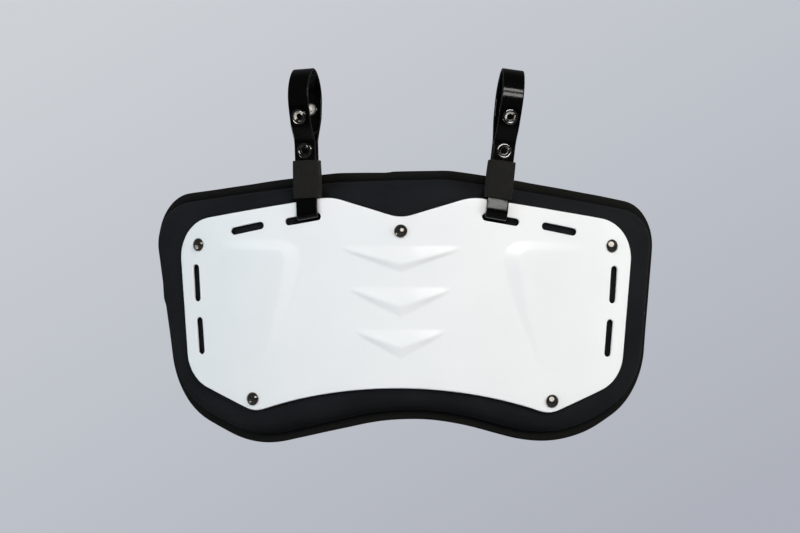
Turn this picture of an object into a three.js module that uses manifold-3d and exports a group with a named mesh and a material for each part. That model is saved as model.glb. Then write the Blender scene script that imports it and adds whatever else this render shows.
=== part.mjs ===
// Football back plate: a bent plastic plate riveted to a foam pad, hung on two straps with snaps.
// Millimetres, +Z up, front towards -Y. The origin is midway between the two strap loops, at the
// height where a bar would carry them.
//
// Plate and pad are laid out flat, as (u, z), and then bent round one upright axis behind the part:
// u runs along the arc to the viewer's right, z is the height over the plate's datum, and n is the
// distance in front of the plate's front face.
import * as THREE from "three";
import { mergeVertices } from "three/addons/utils/BufferGeometryUtils.js";
import Module from "manifold-3d";

const wasm = await Module();
wasm.setup();

// Driving dimensions
const BEND_RADIUS = 326;
const HANG_HEIGHT = 142;
const GAP = 0.3;
const OUTLINE_STEP = 13;
const ARC_PARTS = 3;
const FAR_INSIDE = -60;
const FAR_OUTSIDE = 70;
const CLEAR = 6;
const WELD = 1e-4;
const STRAIGHT = 1e-3;

const PLATE = { thickness: 3, columns: 28, halfAngle: 0.62, low: -125, high: 70 };

// Right half of the plate's outline, from the notch at the top round to the arch at the bottom.
const PLATE_CORNERS = [
  { corner: "notch", u: 0, z: 34.8, radius: 27.5 },
  { corner: "peak", u: 51.7, z: 50.4, radius: 39 },
  { corner: "shoulder", u: 179.2, z: 31.8, radius: 29.5 },
  { corner: "hip", u: 168.3, z: -83.5, radius: 29.5 },
  { corner: "foot", u: 110.1, z: -107.1, radius: 20.5 },
  { corner: "arch", u: 0, z: -71.5, radius: 322 },
];

// Slots on the right half; tilt is how far the outer end drops, in degrees.
const SLOT = { length: 27.6, width: 5.4, segments: 5 };
const SLOTS = [
  { place: "inner", u: 72.5, z: 34.1, tilt: 9.4 },
  { place: "outer", u: 117, z: 27.6, tilt: 10.4 },
  { place: "side_upper", u: 161.2, z: -12.8, tilt: 94 },
  { place: "side_lower", u: 157.5, z: -52.1, tilt: 95 },
];

// Moulded V ridges: a ramp from the top line out to an edge, then a facet back to the plate below it.
const RIDGE = {
  height: 1.4, columns: 8, sunk: 0.35, root: -1.6, tipDrop: 1.4, tipFacet: 1.2, tipRise: 2.5,
};
const RIDGES = [
  { ridge: "upper", halfWidth: 45, top: 14.8, edgeApex: 1.5, baseApex: -4 },
  { ridge: "middle", halfWidth: 38, top: -15, edgeApex: -29, baseApex: -36.5 },
  { ridge: "lower", halfWidth: 33.5, top: -45.5, edgeApex: -58.5, baseApex: -66.5 },
];

// Raised wing panels: highest at the inner upper corner, running out to nothing down and outwards.
const WING = {
  height: 2.8, u: 85, z: 12.5, innerBevel: 12, topBevel: 6, reach: 56, drop: 88, lean: 21,
  columns: 6, rows: 4, sunk: 0.35, root: -1.6, topTaper: 0.8, dropTaper: 0.55, fade: 0.8,
};

// The pad's outline, trimmed by hand, so its left and right corners differ.
const PAD = { front: -3.3, back: -19, columns: 36, halfAngle: 0.74, low: -150, high: 90 };
const PAD_CORNERS = [
  { corner: "crown_right", u: 34.8, z: 70.5, radius: 65 },
  { corner: "shoulder_right", u: 213.4, z: 45.7, radius: 33 },
  { corner: "hip_right", u: 199.3, z: -95.8, radius: 62 },
  { corner: "foot_right", u: 123.2, z: -134.9, radius: 112 },
  { corner: "arch", u: 10.4, z: -105.5, radius: 192 },
  { corner: "foot_left", u: -115.3, z: -134.8, radius: 88 },
  { corner: "hip_left", u: -194.4, z: -104.2, radius: 67 },
  { corner: "shoulder_left", u: -226.8, z: 50.6, radius: 38.5 },
  { corner: "crown_left", u: -49.8, z: 68.4, radius: 57 },
];

// The pad's edge, from the flange in over the rolled shoulder to the front face.
const PAD_EDGE = [
  { fold: "flange_back", inset: 0, n: -19 },
  { fold: "flange_front", inset: 0.4, n: -16.6 },
  { fold: "crease", inset: 6, n: -16 },
  { fold: "roll_foot", inset: 7.2, n: -11.5 },
  { fold: "roll_knee", inset: 11, n: -6.8 },
  { fold: "roll_top", inset: 16.5, n: -4.3 },
  { fold: "face", inset: 23, n: -3.2 },
];

// Trenches in the pad's front, behind the straps and their keepers.
const TRENCH = {
  corner: 3, strapSide: 1.6, strapBelow: 4.5, keeperSide: 1.1, keeperBelow: 1.5, behind: 0.7,
};

const RIVET = {
  headRadius: 4.8, headHeight: 2.8, headRim: 0.4, shankRadius: 2.2, holeRadius: 2.6, footRadius: 4.4,
  footThickness: 1, dimpleDepth: 4.5, dimpleOver: 2, dimpleMouth: 11, dimpleFloor: 5.6,
  domeRows: 4, segments: 14,
};
const RIVETS = [
  { place: "top_left", u: -159.6, z: 15.7 },
  { place: "top_right", u: 159.6, z: 15.7 },
  { place: "top_middle", u: 0, z: 25.5 },
  { place: "bottom_left", u: -111.6, z: -97.4 },
  { place: "bottom_right", u: 111.6, z: -97.4 },
];

// Straps: s is the height along the strap over the middle of its slot, lean is in degrees outwards
// to the viewer's right.
const STRAP = {
  u: 68.5, z: 34.8, width: 16, thickness: 2, slack: 0.05, step: 6,
  foldCentre: 2.9, foldParts: 4, endGap: 1.4,
};
const STATION = { fine: 0.4, turn: 11, apart: 9 };
const STRAPS = [
  { side: "left", sign: -1, lean: -2 },
  { side: "right", sign: 1, lean: 6.7 },
];

// Snap halves sit on flat stretches of the strap, sockets on its front layer and studs on its back one;
// half is how far that layer's middle is from the strap's own plane, and splay is how fast it grows upwards.
const FRONT = 1;
const BACK = -1;
const LAYER = PLATE.thickness / 2 + STRAP.thickness / 2 + GAP + STRAP.slack;
const SNAP = { holeRadius: 3, segments: 14, flat: [-6.5, -5, 0, 5, 6.5] };
const SNAPS = [
  { level: "lower", layer: FRONT, s: 49, half: LAYER, splay: 0 },
  { level: "lower", layer: BACK, s: 49, half: LAYER, splay: 0 },
  { level: "upper", layer: FRONT, s: 73.6, half: 9.6, splay: 0.22 },
  { level: "upper", layer: BACK, s: 79.5, half: 10.9, splay: 0.13 },
];

// The rest of the loop above the upper snap, by height s over the slot.
const CROWN = [
  { s: 87, half: 11.7 },
  { s: 94, half: 10.9 },
  { s: 100.5, half: 8.4 },
  { s: 105.4, half: 4.8 },
];
const CROWN_TOP = HANG_HEIGHT - STRAP.z + STRAP.thickness / 2;

// Snap halves as lathe profiles: proud is how far a point stands out from the strap's face on the side
// that faces out of the loop (1) or into it (-1).
const SOCKET = [
  { edge: "mouth", side: -1, radius: 2.15, proud: 2 },
  { edge: "inner_rim", side: -1, radius: 5, proud: 2 },
  { edge: "inner_flange", side: -1, radius: 5.2, proud: 0 },
  { edge: "barrel_inner", side: -1, radius: 2.65, proud: 0 },
  { edge: "barrel_outer", side: 1, radius: 2.65, proud: 0 },
  { edge: "ring_foot", side: 1, radius: 5.5, proud: 0 },
  { edge: "ring_shoulder", side: 1, radius: 5.2, proud: 0.7 },
  { edge: "ring_crown", side: 1, radius: 4.3, proud: 1.1 },
  { edge: "eye", side: 1, radius: 2.15, proud: 0 },
  { edge: "mouth", side: -1, radius: 2.15, proud: 2 },
];
const STUD = [
  { edge: "nose", side: -1, radius: 0, proud: 2.6 },
  { edge: "post_end", side: -1, radius: 1.7, proud: 2.5 },
  { edge: "post_neck", side: -1, radius: 1.6, proud: 0.8 },
  { edge: "inner_rim", side: -1, radius: 4.8, proud: 0.7 },
  { edge: "inner_flange", side: -1, radius: 4.9, proud: 0 },
  { edge: "barrel_inner", side: -1, radius: 2.65, proud: 0 },
  { edge: "barrel_outer", side: 1, radius: 2.65, proud: 0 },
  { edge: "ring_foot", side: 1, radius: 5.5, proud: 0 },
  { edge: "ring_shoulder", side: 1, radius: 5.2, proud: 0.7 },
  { edge: "ring_crown", side: 1, radius: 4.3, proud: 1.1 },
  { edge: "eye", side: 1, radius: 2.6, proud: 0 },
  { edge: "middle", side: 1, radius: 0, proud: 0 },
];
const SNAP_HALVES = [
  { name: "socket", layer: FRONT, profile: SOCKET },
  { name: "stud", layer: BACK, profile: STUD },
];

const KEEPER = { bottom: 14.5, length: 27.4, wall: 1.2, corner: 1.7 };
const SKEW = { full: 5, none: 13.5 };

const FINISH = {
  pad: { color: 0x25262a, roughness: 0.85, metalness: 0 },
  plate: { color: 0xe8eaee, roughness: 0.25, metalness: 0 },
  rivet: { color: 0x4a4a50, roughness: 0.35, metalness: 1 },
  strap: { color: 0x0c0c0e, roughness: 0.2, metalness: 0 },
  keeper: { color: 0x1a1613, roughness: 0.9, metalness: 0 },
  snap: { color: 0xb4b6ba, roughness: 0.3, metalness: 1 },
};

// Bending and solids

function bend(u, n, z) {
  const angle = u / BEND_RADIUS;
  const radius = BEND_RADIUS + n;
  return new THREE.Vector3(radius * Math.sin(angle), BEND_RADIUS - radius * Math.cos(angle), z);
}

function outward(u) {
  const angle = u / BEND_RADIUS;
  return new THREE.Vector3(Math.sin(angle), -Math.cos(angle), 0);
}

function solidOf(geometry) {
  const bare = new THREE.BufferGeometry();
  bare.setAttribute("position", geometry.getAttribute("position").clone());
  bare.setIndex(geometry.getIndex() ? geometry.getIndex().clone() : null);
  const merged = mergeVertices(bare, WELD);
  return new wasm.Manifold(new wasm.Mesh({
    numProp: 3,
    vertProperties: new Float32Array(merged.getAttribute("position").array),
    triVerts: new Uint32Array(merged.getIndex().array),
  }));
}

function geometryOf(solid) {
  const { vertProperties, triVerts } = solid.getMesh();
  const geometry = new THREE.BufferGeometry();
  geometry.setAttribute("position", new THREE.BufferAttribute(new Float32Array(vertProperties), 3));
  geometry.setIndex(new THREE.BufferAttribute(new Uint32Array(triVerts), 1));
  geometry.computeVertexNormals();
  return geometry;
}

function mesh(name, geometry, finish) {
  const piece = new THREE.Mesh(geometry, new THREE.MeshStandardMaterial(finish));
  piece.name = name;
  return piece;
}

// A closed outline through corners, each rounded by its radius, with lines and arcs cut into steps.
function roundedOutline(corners, step = OUTLINE_STEP) {
  const at = corners.map(({ u, z }) => new THREE.Vector2(u, z));
  const arcs = corners.map(({ radius }, i) => {
    const here = at[i];
    const back = at.at(i - 1).clone().sub(here).normalize();
    const ahead = at[(i + 1) % at.length].clone().sub(here).normalize();
    const half = Math.acos(back.dot(ahead)) / 2;
    const start = here.clone().addScaledVector(back, radius / Math.tan(half));
    const middle = back.clone().add(ahead).normalize().multiplyScalar(radius / Math.sin(half)).add(here);
    const from = start.clone().sub(middle).angle();
    const turn = (Math.PI - 2 * half) * Math.sign(ahead.cross(back));
    const parts = Math.max(ARC_PARTS, Math.ceil(radius * Math.abs(turn) / step));
    return Array.from({ length: parts + 1 }, (_, k) => {
      const angle = from + turn * k / parts;
      return new THREE.Vector2(middle.x + radius * Math.cos(angle), middle.y + radius * Math.sin(angle));
    });
  });
  return arcs.flatMap((arc, i) => {
    const end = arc.at(-1);
    const next = arcs[(i + 1) % arcs.length][0];
    const parts = Math.max(1, Math.round(end.distanceTo(next) / step));
    const line = Array.from({ length: parts - 1 }, (_, k) => end.clone().lerp(next, (k + 1) / parts));
    return [...arc, ...line];
  });
}

// The outline moved inwards along its own normals.
function inset(outline, distance) {
  const turn = THREE.ShapeUtils.isClockWise(outline) ? 1 : -1;
  return outline.map((point, i) => {
    const along = outline[(i + 1) % outline.length].clone().sub(outline.at(i - 1)).normalize();
    return point.clone().add(new THREE.Vector2(along.y, -along.x).multiplyScalar(turn * distance));
  });
}

// A prism over a flat outline between two depths, bent round the axis.
function bentPrism(outline, inner, outer) {
  const prism = new THREE.ExtrudeGeometry(new THREE.Shape(outline), {
    depth: outer - inner, bevelEnabled: false, steps: 1,
  });
  const position = prism.getAttribute("position");
  for (let i = 0; i < position.count; i += 1) {
    const point = bend(position.getX(i), inner + position.getZ(i), position.getY(i));
    position.setXYZ(i, point.x, point.y, point.z);
  }
  return solidOf(prism);
}

// A curved slab between two depths: a ring sector drawn from above and drawn up.
function bentSlab(inner, outer, { columns, halfAngle, low, high }) {
  const front = -Math.PI / 2;
  const sector = new THREE.Shape();
  sector.absarc(0, BEND_RADIUS, BEND_RADIUS + outer, front - halfAngle, front + halfAngle, false);
  sector.absarc(0, BEND_RADIUS, BEND_RADIUS + inner, front + halfAngle, front - halfAngle, true);
  const slab = new THREE.ExtrudeGeometry(sector, {
    depth: high - low, bevelEnabled: false, steps: 1, curveSegments: columns,
  });
  return solidOf(slab.translate(0, 0, low));
}

// A skin over rings of points with the same count, closed at both ends. The rings' flat form runs
// anticlockwise, seen from the last ring.
function loft(rings, flat) {
  const count = rings[0].length;
  const index = [];
  for (let r = 0; r + 1 < rings.length; r += 1) {
    for (let i = 0; i < count; i += 1) {
      const a = r * count + i;
      const b = r * count + (i + 1) % count;
      index.push(a, b, a + count, b, b + count, a + count);
    }
  }
  const last = (rings.length - 1) * count;
  for (const [a, b, c] of THREE.ShapeUtils.triangulateShape(flat, [])) {
    index.push(c, b, a, last + a, last + b, last + c);
  }
  const geometry = new THREE.BufferGeometry().setFromPoints(rings.flat());
  geometry.setIndex(index);
  return solidOf(geometry);
}

// A solid cylinder or cone along the plate's normal, between two depths.
function drill(u, z, inner, outer, innerRadius, outerRadius = innerRadius) {
  const bit = new THREE.CylinderGeometry(outerRadius, innerRadius, outer - inner, RIVET.segments);
  bit.translate(0, (inner + outer) / 2, 0);
  bit.applyQuaternion(facing(outward(u)));
  const seat = bend(u, 0, z);
  return solidOf(bit.translate(seat.x, seat.y, seat.z));
}

// The turn that sets a lathe's own axis along a direction.
function facing(direction) {
  return new THREE.Quaternion().setFromUnitVectors(new THREE.Vector3(0, 1, 0), direction);
}

// Plate

function mirrored(half) {
  const left = half.slice(1, -1).reverse().map((corner) => ({ ...corner, u: -corner.u }));
  return [...half, ...left];
}

function slotOutline({ u, z, tilt }, sign) {
  const turn = THREE.MathUtils.degToRad(-tilt * sign);
  const radius = SLOT.width / 2;
  const reach = SLOT.length / 2 - radius;
  const points = [];
  for (const end of [1, -1]) {
    for (let k = 0; k <= SLOT.segments; k += 1) {
      const angle = (k / SLOT.segments - 0.5) * Math.PI + (end > 0 ? 0 : Math.PI);
      points.push(new THREE.Vector2(end * reach + radius * Math.cos(angle), radius * Math.sin(angle)));
    }
  }
  const middle = new THREE.Vector2();
  return points.map((point) => point.rotateAround(middle, turn).add(new THREE.Vector2(sign * u, z)));
}

// One V ridge: sections across it, each a ramp, an edge, a facet and a root sunk into the plate.
function ridge({ halfWidth, top, edgeApex, baseApex }) {
  const sections = [];
  for (let k = 0; k <= RIDGE.columns; k += 1) {
    const across = 2 * k / RIDGE.columns - 1;
    const near = 1 - Math.abs(across);
    const tip = top - RIDGE.tipDrop;
    const height = RIDGE.height * Math.min(1, RIDGE.tipRise * near);
    const base = THREE.MathUtils.lerp(tip - RIDGE.tipFacet, baseApex, near);
    const section = [
      { z: top, n: RIDGE.root },
      { z: top, n: -RIDGE.sunk },
      { z: THREE.MathUtils.lerp(tip, edgeApex, near), n: height - RIDGE.sunk * (1 - near) },
      { z: base, n: -RIDGE.sunk },
      { z: base, n: RIDGE.root },
    ];
    sections.push(section.map(({ z, n }) => bend(across * halfWidth, n, z)));
  }
  const flat = [[0, 0], [0, 1], [-1, 2], [-2, 1], [-2, 0]].map(([x, y]) => new THREE.Vector2(x, y));
  return loft(sections, flat);
}

// One wing panel: sections from the inner bevel outwards, each from the top bevel down to nothing.
function wing(sign) {
  const sections = [];
  for (let k = 0; k <= WING.columns; k += 1) {
    const out = Math.max(0, (k - 1) / (WING.columns - 1));
    const u = k === 0 ? WING.u - WING.innerBevel : WING.u + out * WING.reach;
    const height = k === 0 ? 0 : WING.height * (1 - out);
    const bevel = WING.topBevel * (1 - WING.topTaper * out);
    const bottom = WING.z - WING.drop * (1 - WING.dropTaper * out);
    const section = [
      { z: WING.z + bevel, n: WING.root },
      { z: WING.z + bevel, n: -WING.sunk },
    ];
    for (let row = 0; row <= WING.rows; row += 1) {
      const down = row / WING.rows;
      const n = height * (1 - down) ** WING.fade - WING.sunk * down;
      section.push({ z: THREE.MathUtils.lerp(WING.z, bottom, down), n });
    }
    section.push({ z: bottom, n: WING.root });
    sections.push(section.map(({ z, n }) => {
      const lean = WING.lean * Math.max(0, WING.z - z) / WING.drop * (1 - out);
      return bend(sign * (u + lean), n, z);
    }));
  }
  const flat = sections[0].map((_, i, all) => {
    const angle = 2 * Math.PI * i / all.length;
    return new THREE.Vector2(Math.cos(angle), Math.sin(angle));
  });
  return loft(sign > 0 ? sections : sections.reverse(), flat);
}

function plateSolid() {
  let plate = bentSlab(-PLATE.thickness, 0, PLATE);
  plate = plate.intersect(bentPrism(roundedOutline(mirrored(PLATE_CORNERS)), FAR_INSIDE, FAR_OUTSIDE));
  for (const row of RIDGES) plate = plate.add(ridge(row));
  for (const sign of [-1, 1]) {
    plate = plate.add(wing(sign));
    for (const row of SLOTS) {
      plate = plate.subtract(bentPrism(slotOutline(row, sign), -PLATE.thickness - CLEAR, CLEAR));
    }
  }
  for (const { u, z } of RIVETS) {
    plate = plate.subtract(drill(u, z, -PLATE.thickness - CLEAR, CLEAR, RIVET.holeRadius));
  }
  return plate;
}

// Pad

// A round-cornered trench in the pad's front, along a strap and open at the pad's top edge.
function strapTrench({ sign, lean }, halfWidth, bottom, floor) {
  const radius = TRENCH.corner;
  const outline = roundedOutline([
    { u: -halfWidth, z: bottom, radius },
    { u: -halfWidth, z: PAD.high, radius },
    { u: halfWidth, z: PAD.high, radius },
    { u: halfWidth, z: bottom, radius },
  ]);
  const turn = THREE.MathUtils.degToRad(-lean);
  const foot = new THREE.Vector2(0, STRAP.z);
  const aside = new THREE.Vector2(sign * STRAP.u, 0);
  return bentPrism(outline.map((point) => point.rotateAround(foot, turn).add(aside)), floor, CLEAR);
}

function padSolid() {
  const outline = roundedOutline(PAD_CORNERS).reverse();
  const skin = [
    { inset: 0, n: FAR_INSIDE },
    ...PAD_EDGE,
    { inset: PAD_EDGE.at(-1).inset, n: FAR_OUTSIDE },
  ];
  const rings = skin.map((row) => inset(outline, row.inset).map((point) => bend(point.x, row.n, point.y)));
  let pad = bentSlab(PAD.back, PAD.front, PAD).intersect(loft(rings, outline));
  const behindStrap = -PLATE.thickness - STRAP.thickness - TRENCH.behind;
  const behindKeeper = behindStrap - KEEPER.wall - GAP;
  for (const row of STRAPS) {
    const strapHalf = STRAP.width / 2 + TRENCH.strapSide;
    const keeperHalf = STRAP.width / 2 + KEEPER.wall + TRENCH.keeperSide;
    const keeperFoot = STRAP.z + KEEPER.bottom - TRENCH.keeperBelow;
    pad = pad.subtract(strapTrench(row, strapHalf, STRAP.z - TRENCH.strapBelow, behindStrap));
    pad = pad.subtract(strapTrench(row, keeperHalf, keeperFoot, behindKeeper));
  }
  for (const { u, z } of RIVETS) {
    const mouth = PAD.back - RIVET.dimpleOver;
    const floor = PAD.back + RIVET.dimpleDepth;
    pad = pad.subtract(drill(u, z, PAD.back - CLEAR, CLEAR, RIVET.holeRadius));
    pad = pad.subtract(drill(u, z, mouth, floor, RIVET.dimpleMouth, RIVET.dimpleFloor));
  }
  return pad;
}

// Rivets

function rivetGeometry() {
  const foot = PAD.back + RIVET.dimpleDepth - GAP;
  const profile = [
    new THREE.Vector2(0, foot - RIVET.footThickness),
    new THREE.Vector2(RIVET.footRadius, foot - RIVET.footThickness),
    new THREE.Vector2(RIVET.footRadius, foot),
    new THREE.Vector2(RIVET.shankRadius, foot),
    new THREE.Vector2(RIVET.shankRadius, GAP),
  ];
  for (let k = 0; k <= RIVET.domeRows; k += 1) {
    const angle = k / RIVET.domeRows * Math.PI / 2;
    const height = GAP + RIVET.headRim + (RIVET.headHeight - RIVET.headRim) * Math.sin(angle);
    if (k === 0) profile.push(new THREE.Vector2(RIVET.headRadius, GAP));
    profile.push(new THREE.Vector2(k === RIVET.domeRows ? 0 : RIVET.headRadius * Math.cos(angle), height));
  }
  return new THREE.LatheGeometry(profile, RIVET.segments);
}

function rivets() {
  return RIVETS.map(({ place, u, z }) => {
    const rivet = mesh(`rivet_${place}`, rivetGeometry(), FINISH.rivet);
    rivet.position.copy(bend(u, 0, z));
    rivet.quaternion.copy(facing(outward(u)));
    return rivet;
  });
}

// Straps: each is drawn in its own plane, x towards the front and y up along the strap, and drawn
// out across its width. The band runs from one hidden end inside the keeper down behind the plate,
// through the slot, up the front, round the loop and down to the other hidden end.

const STRAP_MIDDLE = -PLATE.thickness / 2;

function strapPath() {
  const endHeight = KEEPER.bottom + KEEPER.length / 2;
  const rise = (layer) => [
    ...SNAPS.filter((row) => row.layer === layer).flatMap(({ s, half, splay }) => (
      SNAP.flat.map((d) => ({ s: s + d, half: half + splay * d }))
    )),
    ...CROWN,
  ];
  const front = rise(FRONT);
  const back = rise(BACK);
  const points = [];
  const add = (half, s) => points.push(new THREE.Vector3(STRAP_MIDDLE + half, s, 0));
  const straight = (half, from, to) => {
    const parts = Math.round(Math.abs(to - from) / STRAP.step);
    for (let k = 0; k <= parts; k += 1) add(half, THREE.MathUtils.lerp(from, to, k / parts));
  };
  straight(-LAYER, endHeight - STRAP.endGap / 2, STRAP.foldCentre);
  for (let k = 1; k < STRAP.foldParts; k += 1) {
    const angle = Math.PI * (1 + k / STRAP.foldParts);
    add(LAYER * Math.cos(angle), STRAP.foldCentre + LAYER * Math.sin(angle));
  }
  straight(LAYER, STRAP.foldCentre, front[0].s - STRAP.step);
  for (const { s, half } of front) add(half, s);
  add(0, CROWN_TOP);
  for (const { s, half } of back.toReversed()) add(-half, s);
  straight(-LAYER, back[0].s - STRAP.step, endHeight + STRAP.endGap / 2);
  return new THREE.CatmullRomCurve3(points, false, "centripetal");
}

// The place of a snap half on its layer, and the direction that faces out of the loop.
function snapSeat({ layer, s, half, splay }) {
  return {
    point: new THREE.Vector3(STRAP_MIDDLE + layer * half, s, 0),
    out: new THREE.Vector3(layer, -splay, 0).normalize(),
  };
}

// Points along the path with their headings, close where it turns and further apart where it is straight.
function stations(path) {
  const count = Math.round(path.getLength() / STATION.fine);
  const limit = THREE.MathUtils.degToRad(STATION.turn);
  const kept = [];
  for (let i = 0; i <= count; i += 1) {
    const here = { point: path.getPointAt(i / count), along: path.getTangentAt(i / count) };
    const last = kept.at(-1);
    const turned = last && last.along.angleTo(here.along) > limit;
    const far = last && last.point.distanceTo(here.point) > STATION.apart;
    if (!last || turned || far || i === count) kept.push(here);
  }
  return kept;
}

function bandOutline(path) {
  const half = STRAP.thickness / 2;
  const offset = (side) => stations(path).map(({ point, along }) => (
    new THREE.Vector2(point.x + side * half * along.y, point.y - side * half * along.x)
  ));
  return [...offset(1), ...offset(-1).reverse()];
}

// The foot of the band slides up or down across its width, so that its fold lies along the tilted slot.
function skewFoot(geometry, slope) {
  const position = geometry.getAttribute("position");
  for (let i = 0; i < position.count; i += 1) {
    const s = position.getY(i);
    const share = 1 - THREE.MathUtils.smoothstep(s, SKEW.full, SKEW.none);
    position.setY(i, s - slope * share * position.getZ(i));
  }
}

function strapSolid(path, slope) {
  const band = new THREE.ExtrudeGeometry(new THREE.Shape(bandOutline(path)), {
    depth: STRAP.width, bevelEnabled: false, steps: 1,
  });
  band.translate(0, 0, -STRAP.width / 2);
  skewFoot(band, slope);
  let strap = solidOf(band);
  for (const row of SNAPS) {
    const { point, out } = snapSeat(row);
    const through = 2 * STRAP.thickness;
    const hole = new THREE.CylinderGeometry(SNAP.holeRadius, SNAP.holeRadius, through, SNAP.segments);
    hole.applyQuaternion(facing(out));
    strap = strap.subtract(solidOf(hole.translate(point.x, point.y, point.z)));
  }
  return strap;
}

function keeperGeometry() {
  const ring = (halfDepth, halfWidth, corner) => roundedOutline([
    { u: STRAP_MIDDLE - halfDepth, z: -halfWidth, radius: corner },
    { u: STRAP_MIDDLE + halfDepth, z: -halfWidth, radius: corner },
    { u: STRAP_MIDDLE + halfDepth, z: halfWidth, radius: corner },
    { u: STRAP_MIDDLE - halfDepth, z: halfWidth, radius: corner },
  ], KEEPER.wall);
  const depth = LAYER + STRAP.thickness / 2 + GAP;
  const width = STRAP.width / 2 + GAP;
  const shape = new THREE.Shape(thin(ring(depth + KEEPER.wall, width + KEEPER.wall, KEEPER.corner)));
  shape.holes.push(new THREE.Path(thin(ring(depth, width, KEEPER.corner - KEEPER.wall))));
  const sleeve = new THREE.ExtrudeGeometry(shape, { depth: KEEPER.length, bevelEnabled: false, steps: 1 });
  sleeve.rotateX(-Math.PI / 2);
  return sleeve.translate(0, KEEPER.bottom, 0);
}

// An outline without the points that lie on the straight line between their neighbours.
function thin(outline) {
  return outline.filter((point, i) => {
    const before = point.clone().sub(outline.at(i - 1));
    const after = outline[(i + 1) % outline.length].clone().sub(point);
    return Math.abs(before.normalize().cross(after.normalize())) > STRAIGHT;
  });
}

// A snap half, turned about the line through its layer of the strap.
function snapGeometry(profile) {
  const face = STRAP.thickness / 2 + GAP;
  const points = profile.map(({ side, radius, proud }) => new THREE.Vector2(radius, side * (face + proud)));
  return new THREE.LatheGeometry(points, SNAP.segments);
}

function strapGroup({ side, sign, lean }) {
  const { tilt } = SLOTS.find(({ place }) => place === "inner");
  const slope = Math.tan(THREE.MathUtils.degToRad(lean - sign * tilt));
  const path = strapPath();
  const group = new THREE.Group();
  group.add(mesh(`strap_${side}`, geometryOf(strapSolid(path, slope)), FINISH.strap));
  group.add(mesh(`keeper_${side}`, keeperGeometry(), FINISH.keeper));
  for (const row of SNAPS) {
    const { name, profile } = SNAP_HALVES.find(({ layer }) => layer === row.layer);
    const { point, out } = snapSeat(row);
    const snap = mesh(`snap_${side}_${row.level}_${name}`, snapGeometry(profile), FINISH.snap);
    snap.position.copy(point);
    snap.quaternion.copy(facing(out));
    group.add(snap);
  }
  const u = sign * STRAP.u;
  const angle = u / BEND_RADIUS;
  const turn = THREE.MathUtils.degToRad(lean);
  const across = new THREE.Vector3(Math.cos(angle), Math.sin(angle), 0);
  const up = new THREE.Vector3(0, 0, Math.cos(turn)).addScaledVector(across, Math.sin(turn));
  const front = outward(u);
  const basis = new THREE.Matrix4().makeBasis(front, up, front.clone().cross(up));
  group.quaternion.setFromRotationMatrix(basis);
  group.position.copy(bend(u, 0, STRAP.z));
  return group;
}

// Assembly, moved so that the origin is where the loops are carried

const hang = bend(STRAP.u, STRAP_MIDDLE, HANG_HEIGHT);
const worn = new THREE.Group();
worn.position.set(0, -hang.y, -hang.z);
worn.add(mesh("foam_pad", geometryOf(padSolid()), FINISH.pad));
worn.add(mesh("plate", geometryOf(plateSolid()), FINISH.plate));
worn.add(...rivets());
worn.add(...STRAPS.map(strapGroup));

const part = new THREE.Group();
part.name = "football_back_plate";
part.add(worn);

export default part;
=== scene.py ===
"""Football back plate: the finished surfaces, materials, light and camera around the fixed frame.

Metres in the part's own frame: +X to the viewer's right, +Y towards the wearer, +Z up. Sizes are written
in millimetres. Plate and pad are laid out flat as (u, z), with n in front of the plate's face, and are
then bent round one upright axis behind the part.
"""

import bpy
import numpy as np
from mathutils import Matrix, Vector


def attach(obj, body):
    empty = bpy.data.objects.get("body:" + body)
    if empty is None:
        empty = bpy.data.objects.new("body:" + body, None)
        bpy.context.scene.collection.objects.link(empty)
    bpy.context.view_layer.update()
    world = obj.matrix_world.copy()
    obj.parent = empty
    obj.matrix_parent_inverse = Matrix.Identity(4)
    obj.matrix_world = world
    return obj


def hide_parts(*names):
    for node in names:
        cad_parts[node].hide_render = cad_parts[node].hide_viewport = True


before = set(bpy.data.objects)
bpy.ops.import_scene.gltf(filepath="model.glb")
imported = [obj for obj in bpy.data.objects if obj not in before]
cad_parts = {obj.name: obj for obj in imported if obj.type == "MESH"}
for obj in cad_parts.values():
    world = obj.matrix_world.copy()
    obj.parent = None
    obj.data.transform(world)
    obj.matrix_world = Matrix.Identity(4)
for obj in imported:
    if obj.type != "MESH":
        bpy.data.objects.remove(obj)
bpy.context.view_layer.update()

MM = 0.001
BEND_RADIUS = 326.0
BODY = "root"

# Plate: right half of the outline from the notch at the top round to the arch, as (u, z, radius).
PLATE_THICKNESS = 3.0
PLATE_EDGE = 0.9
PLATE_CORNERS = {
    "notch": (0.0, 34.8, 27.5), "peak": (51.7, 50.4, 39.0), "shoulder": (179.2, 31.8, 29.5),
    "hip": (168.3, -83.5, 29.5), "foot": (110.1, -107.1, 20.5), "arch": (0.0, -71.5, 322.0),
}
PLATE_COLUMNS = {"marks": (-172.0, -110.0, -52.0, 52.0, 110.0, 172.0), "steps": (2.4, 1.1, 0.9, 1.1, 2.4)}
PLATE_ROWS = 122
PLATE_RIM_PARTS = 6
PLATE_RIM_SQUARE = 0.8

# Slots on the right half, as (u, z, how far the outer end drops in degrees).
SLOT = {
    "length": 27.6, "width": 5.4, "lip": 0.45, "lip_step": 0.35, "wall": 1.3, "flare": 1.9, "turns": 14,
    "over_face": 0.02, "past_plate": 8.0,
}
SLOTS = {
    "inner": (72.5, 34.1, 9.4), "outer": (117.0, 27.6, 10.4),
    "side_upper": (161.2, -12.8, 94.0), "side_lower": (157.5, -52.1, 95.0),
}

# Moulded V ridges, as (half width, top line, lowest point of the edge, lowest point of the foot).
RIDGE = {"height": 1.4, "tip_drop": 1.4, "tip_facet": 1.2, "tip_rise": 2.5, "round": 0.36}
RIDGES = {
    "upper": (45.0, 14.8, 1.5, -4.0),
    "middle": (38.0, -15.0, -29.0, -36.5),
    "lower": (33.5, -45.5, -58.5, -66.5),
}

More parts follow.
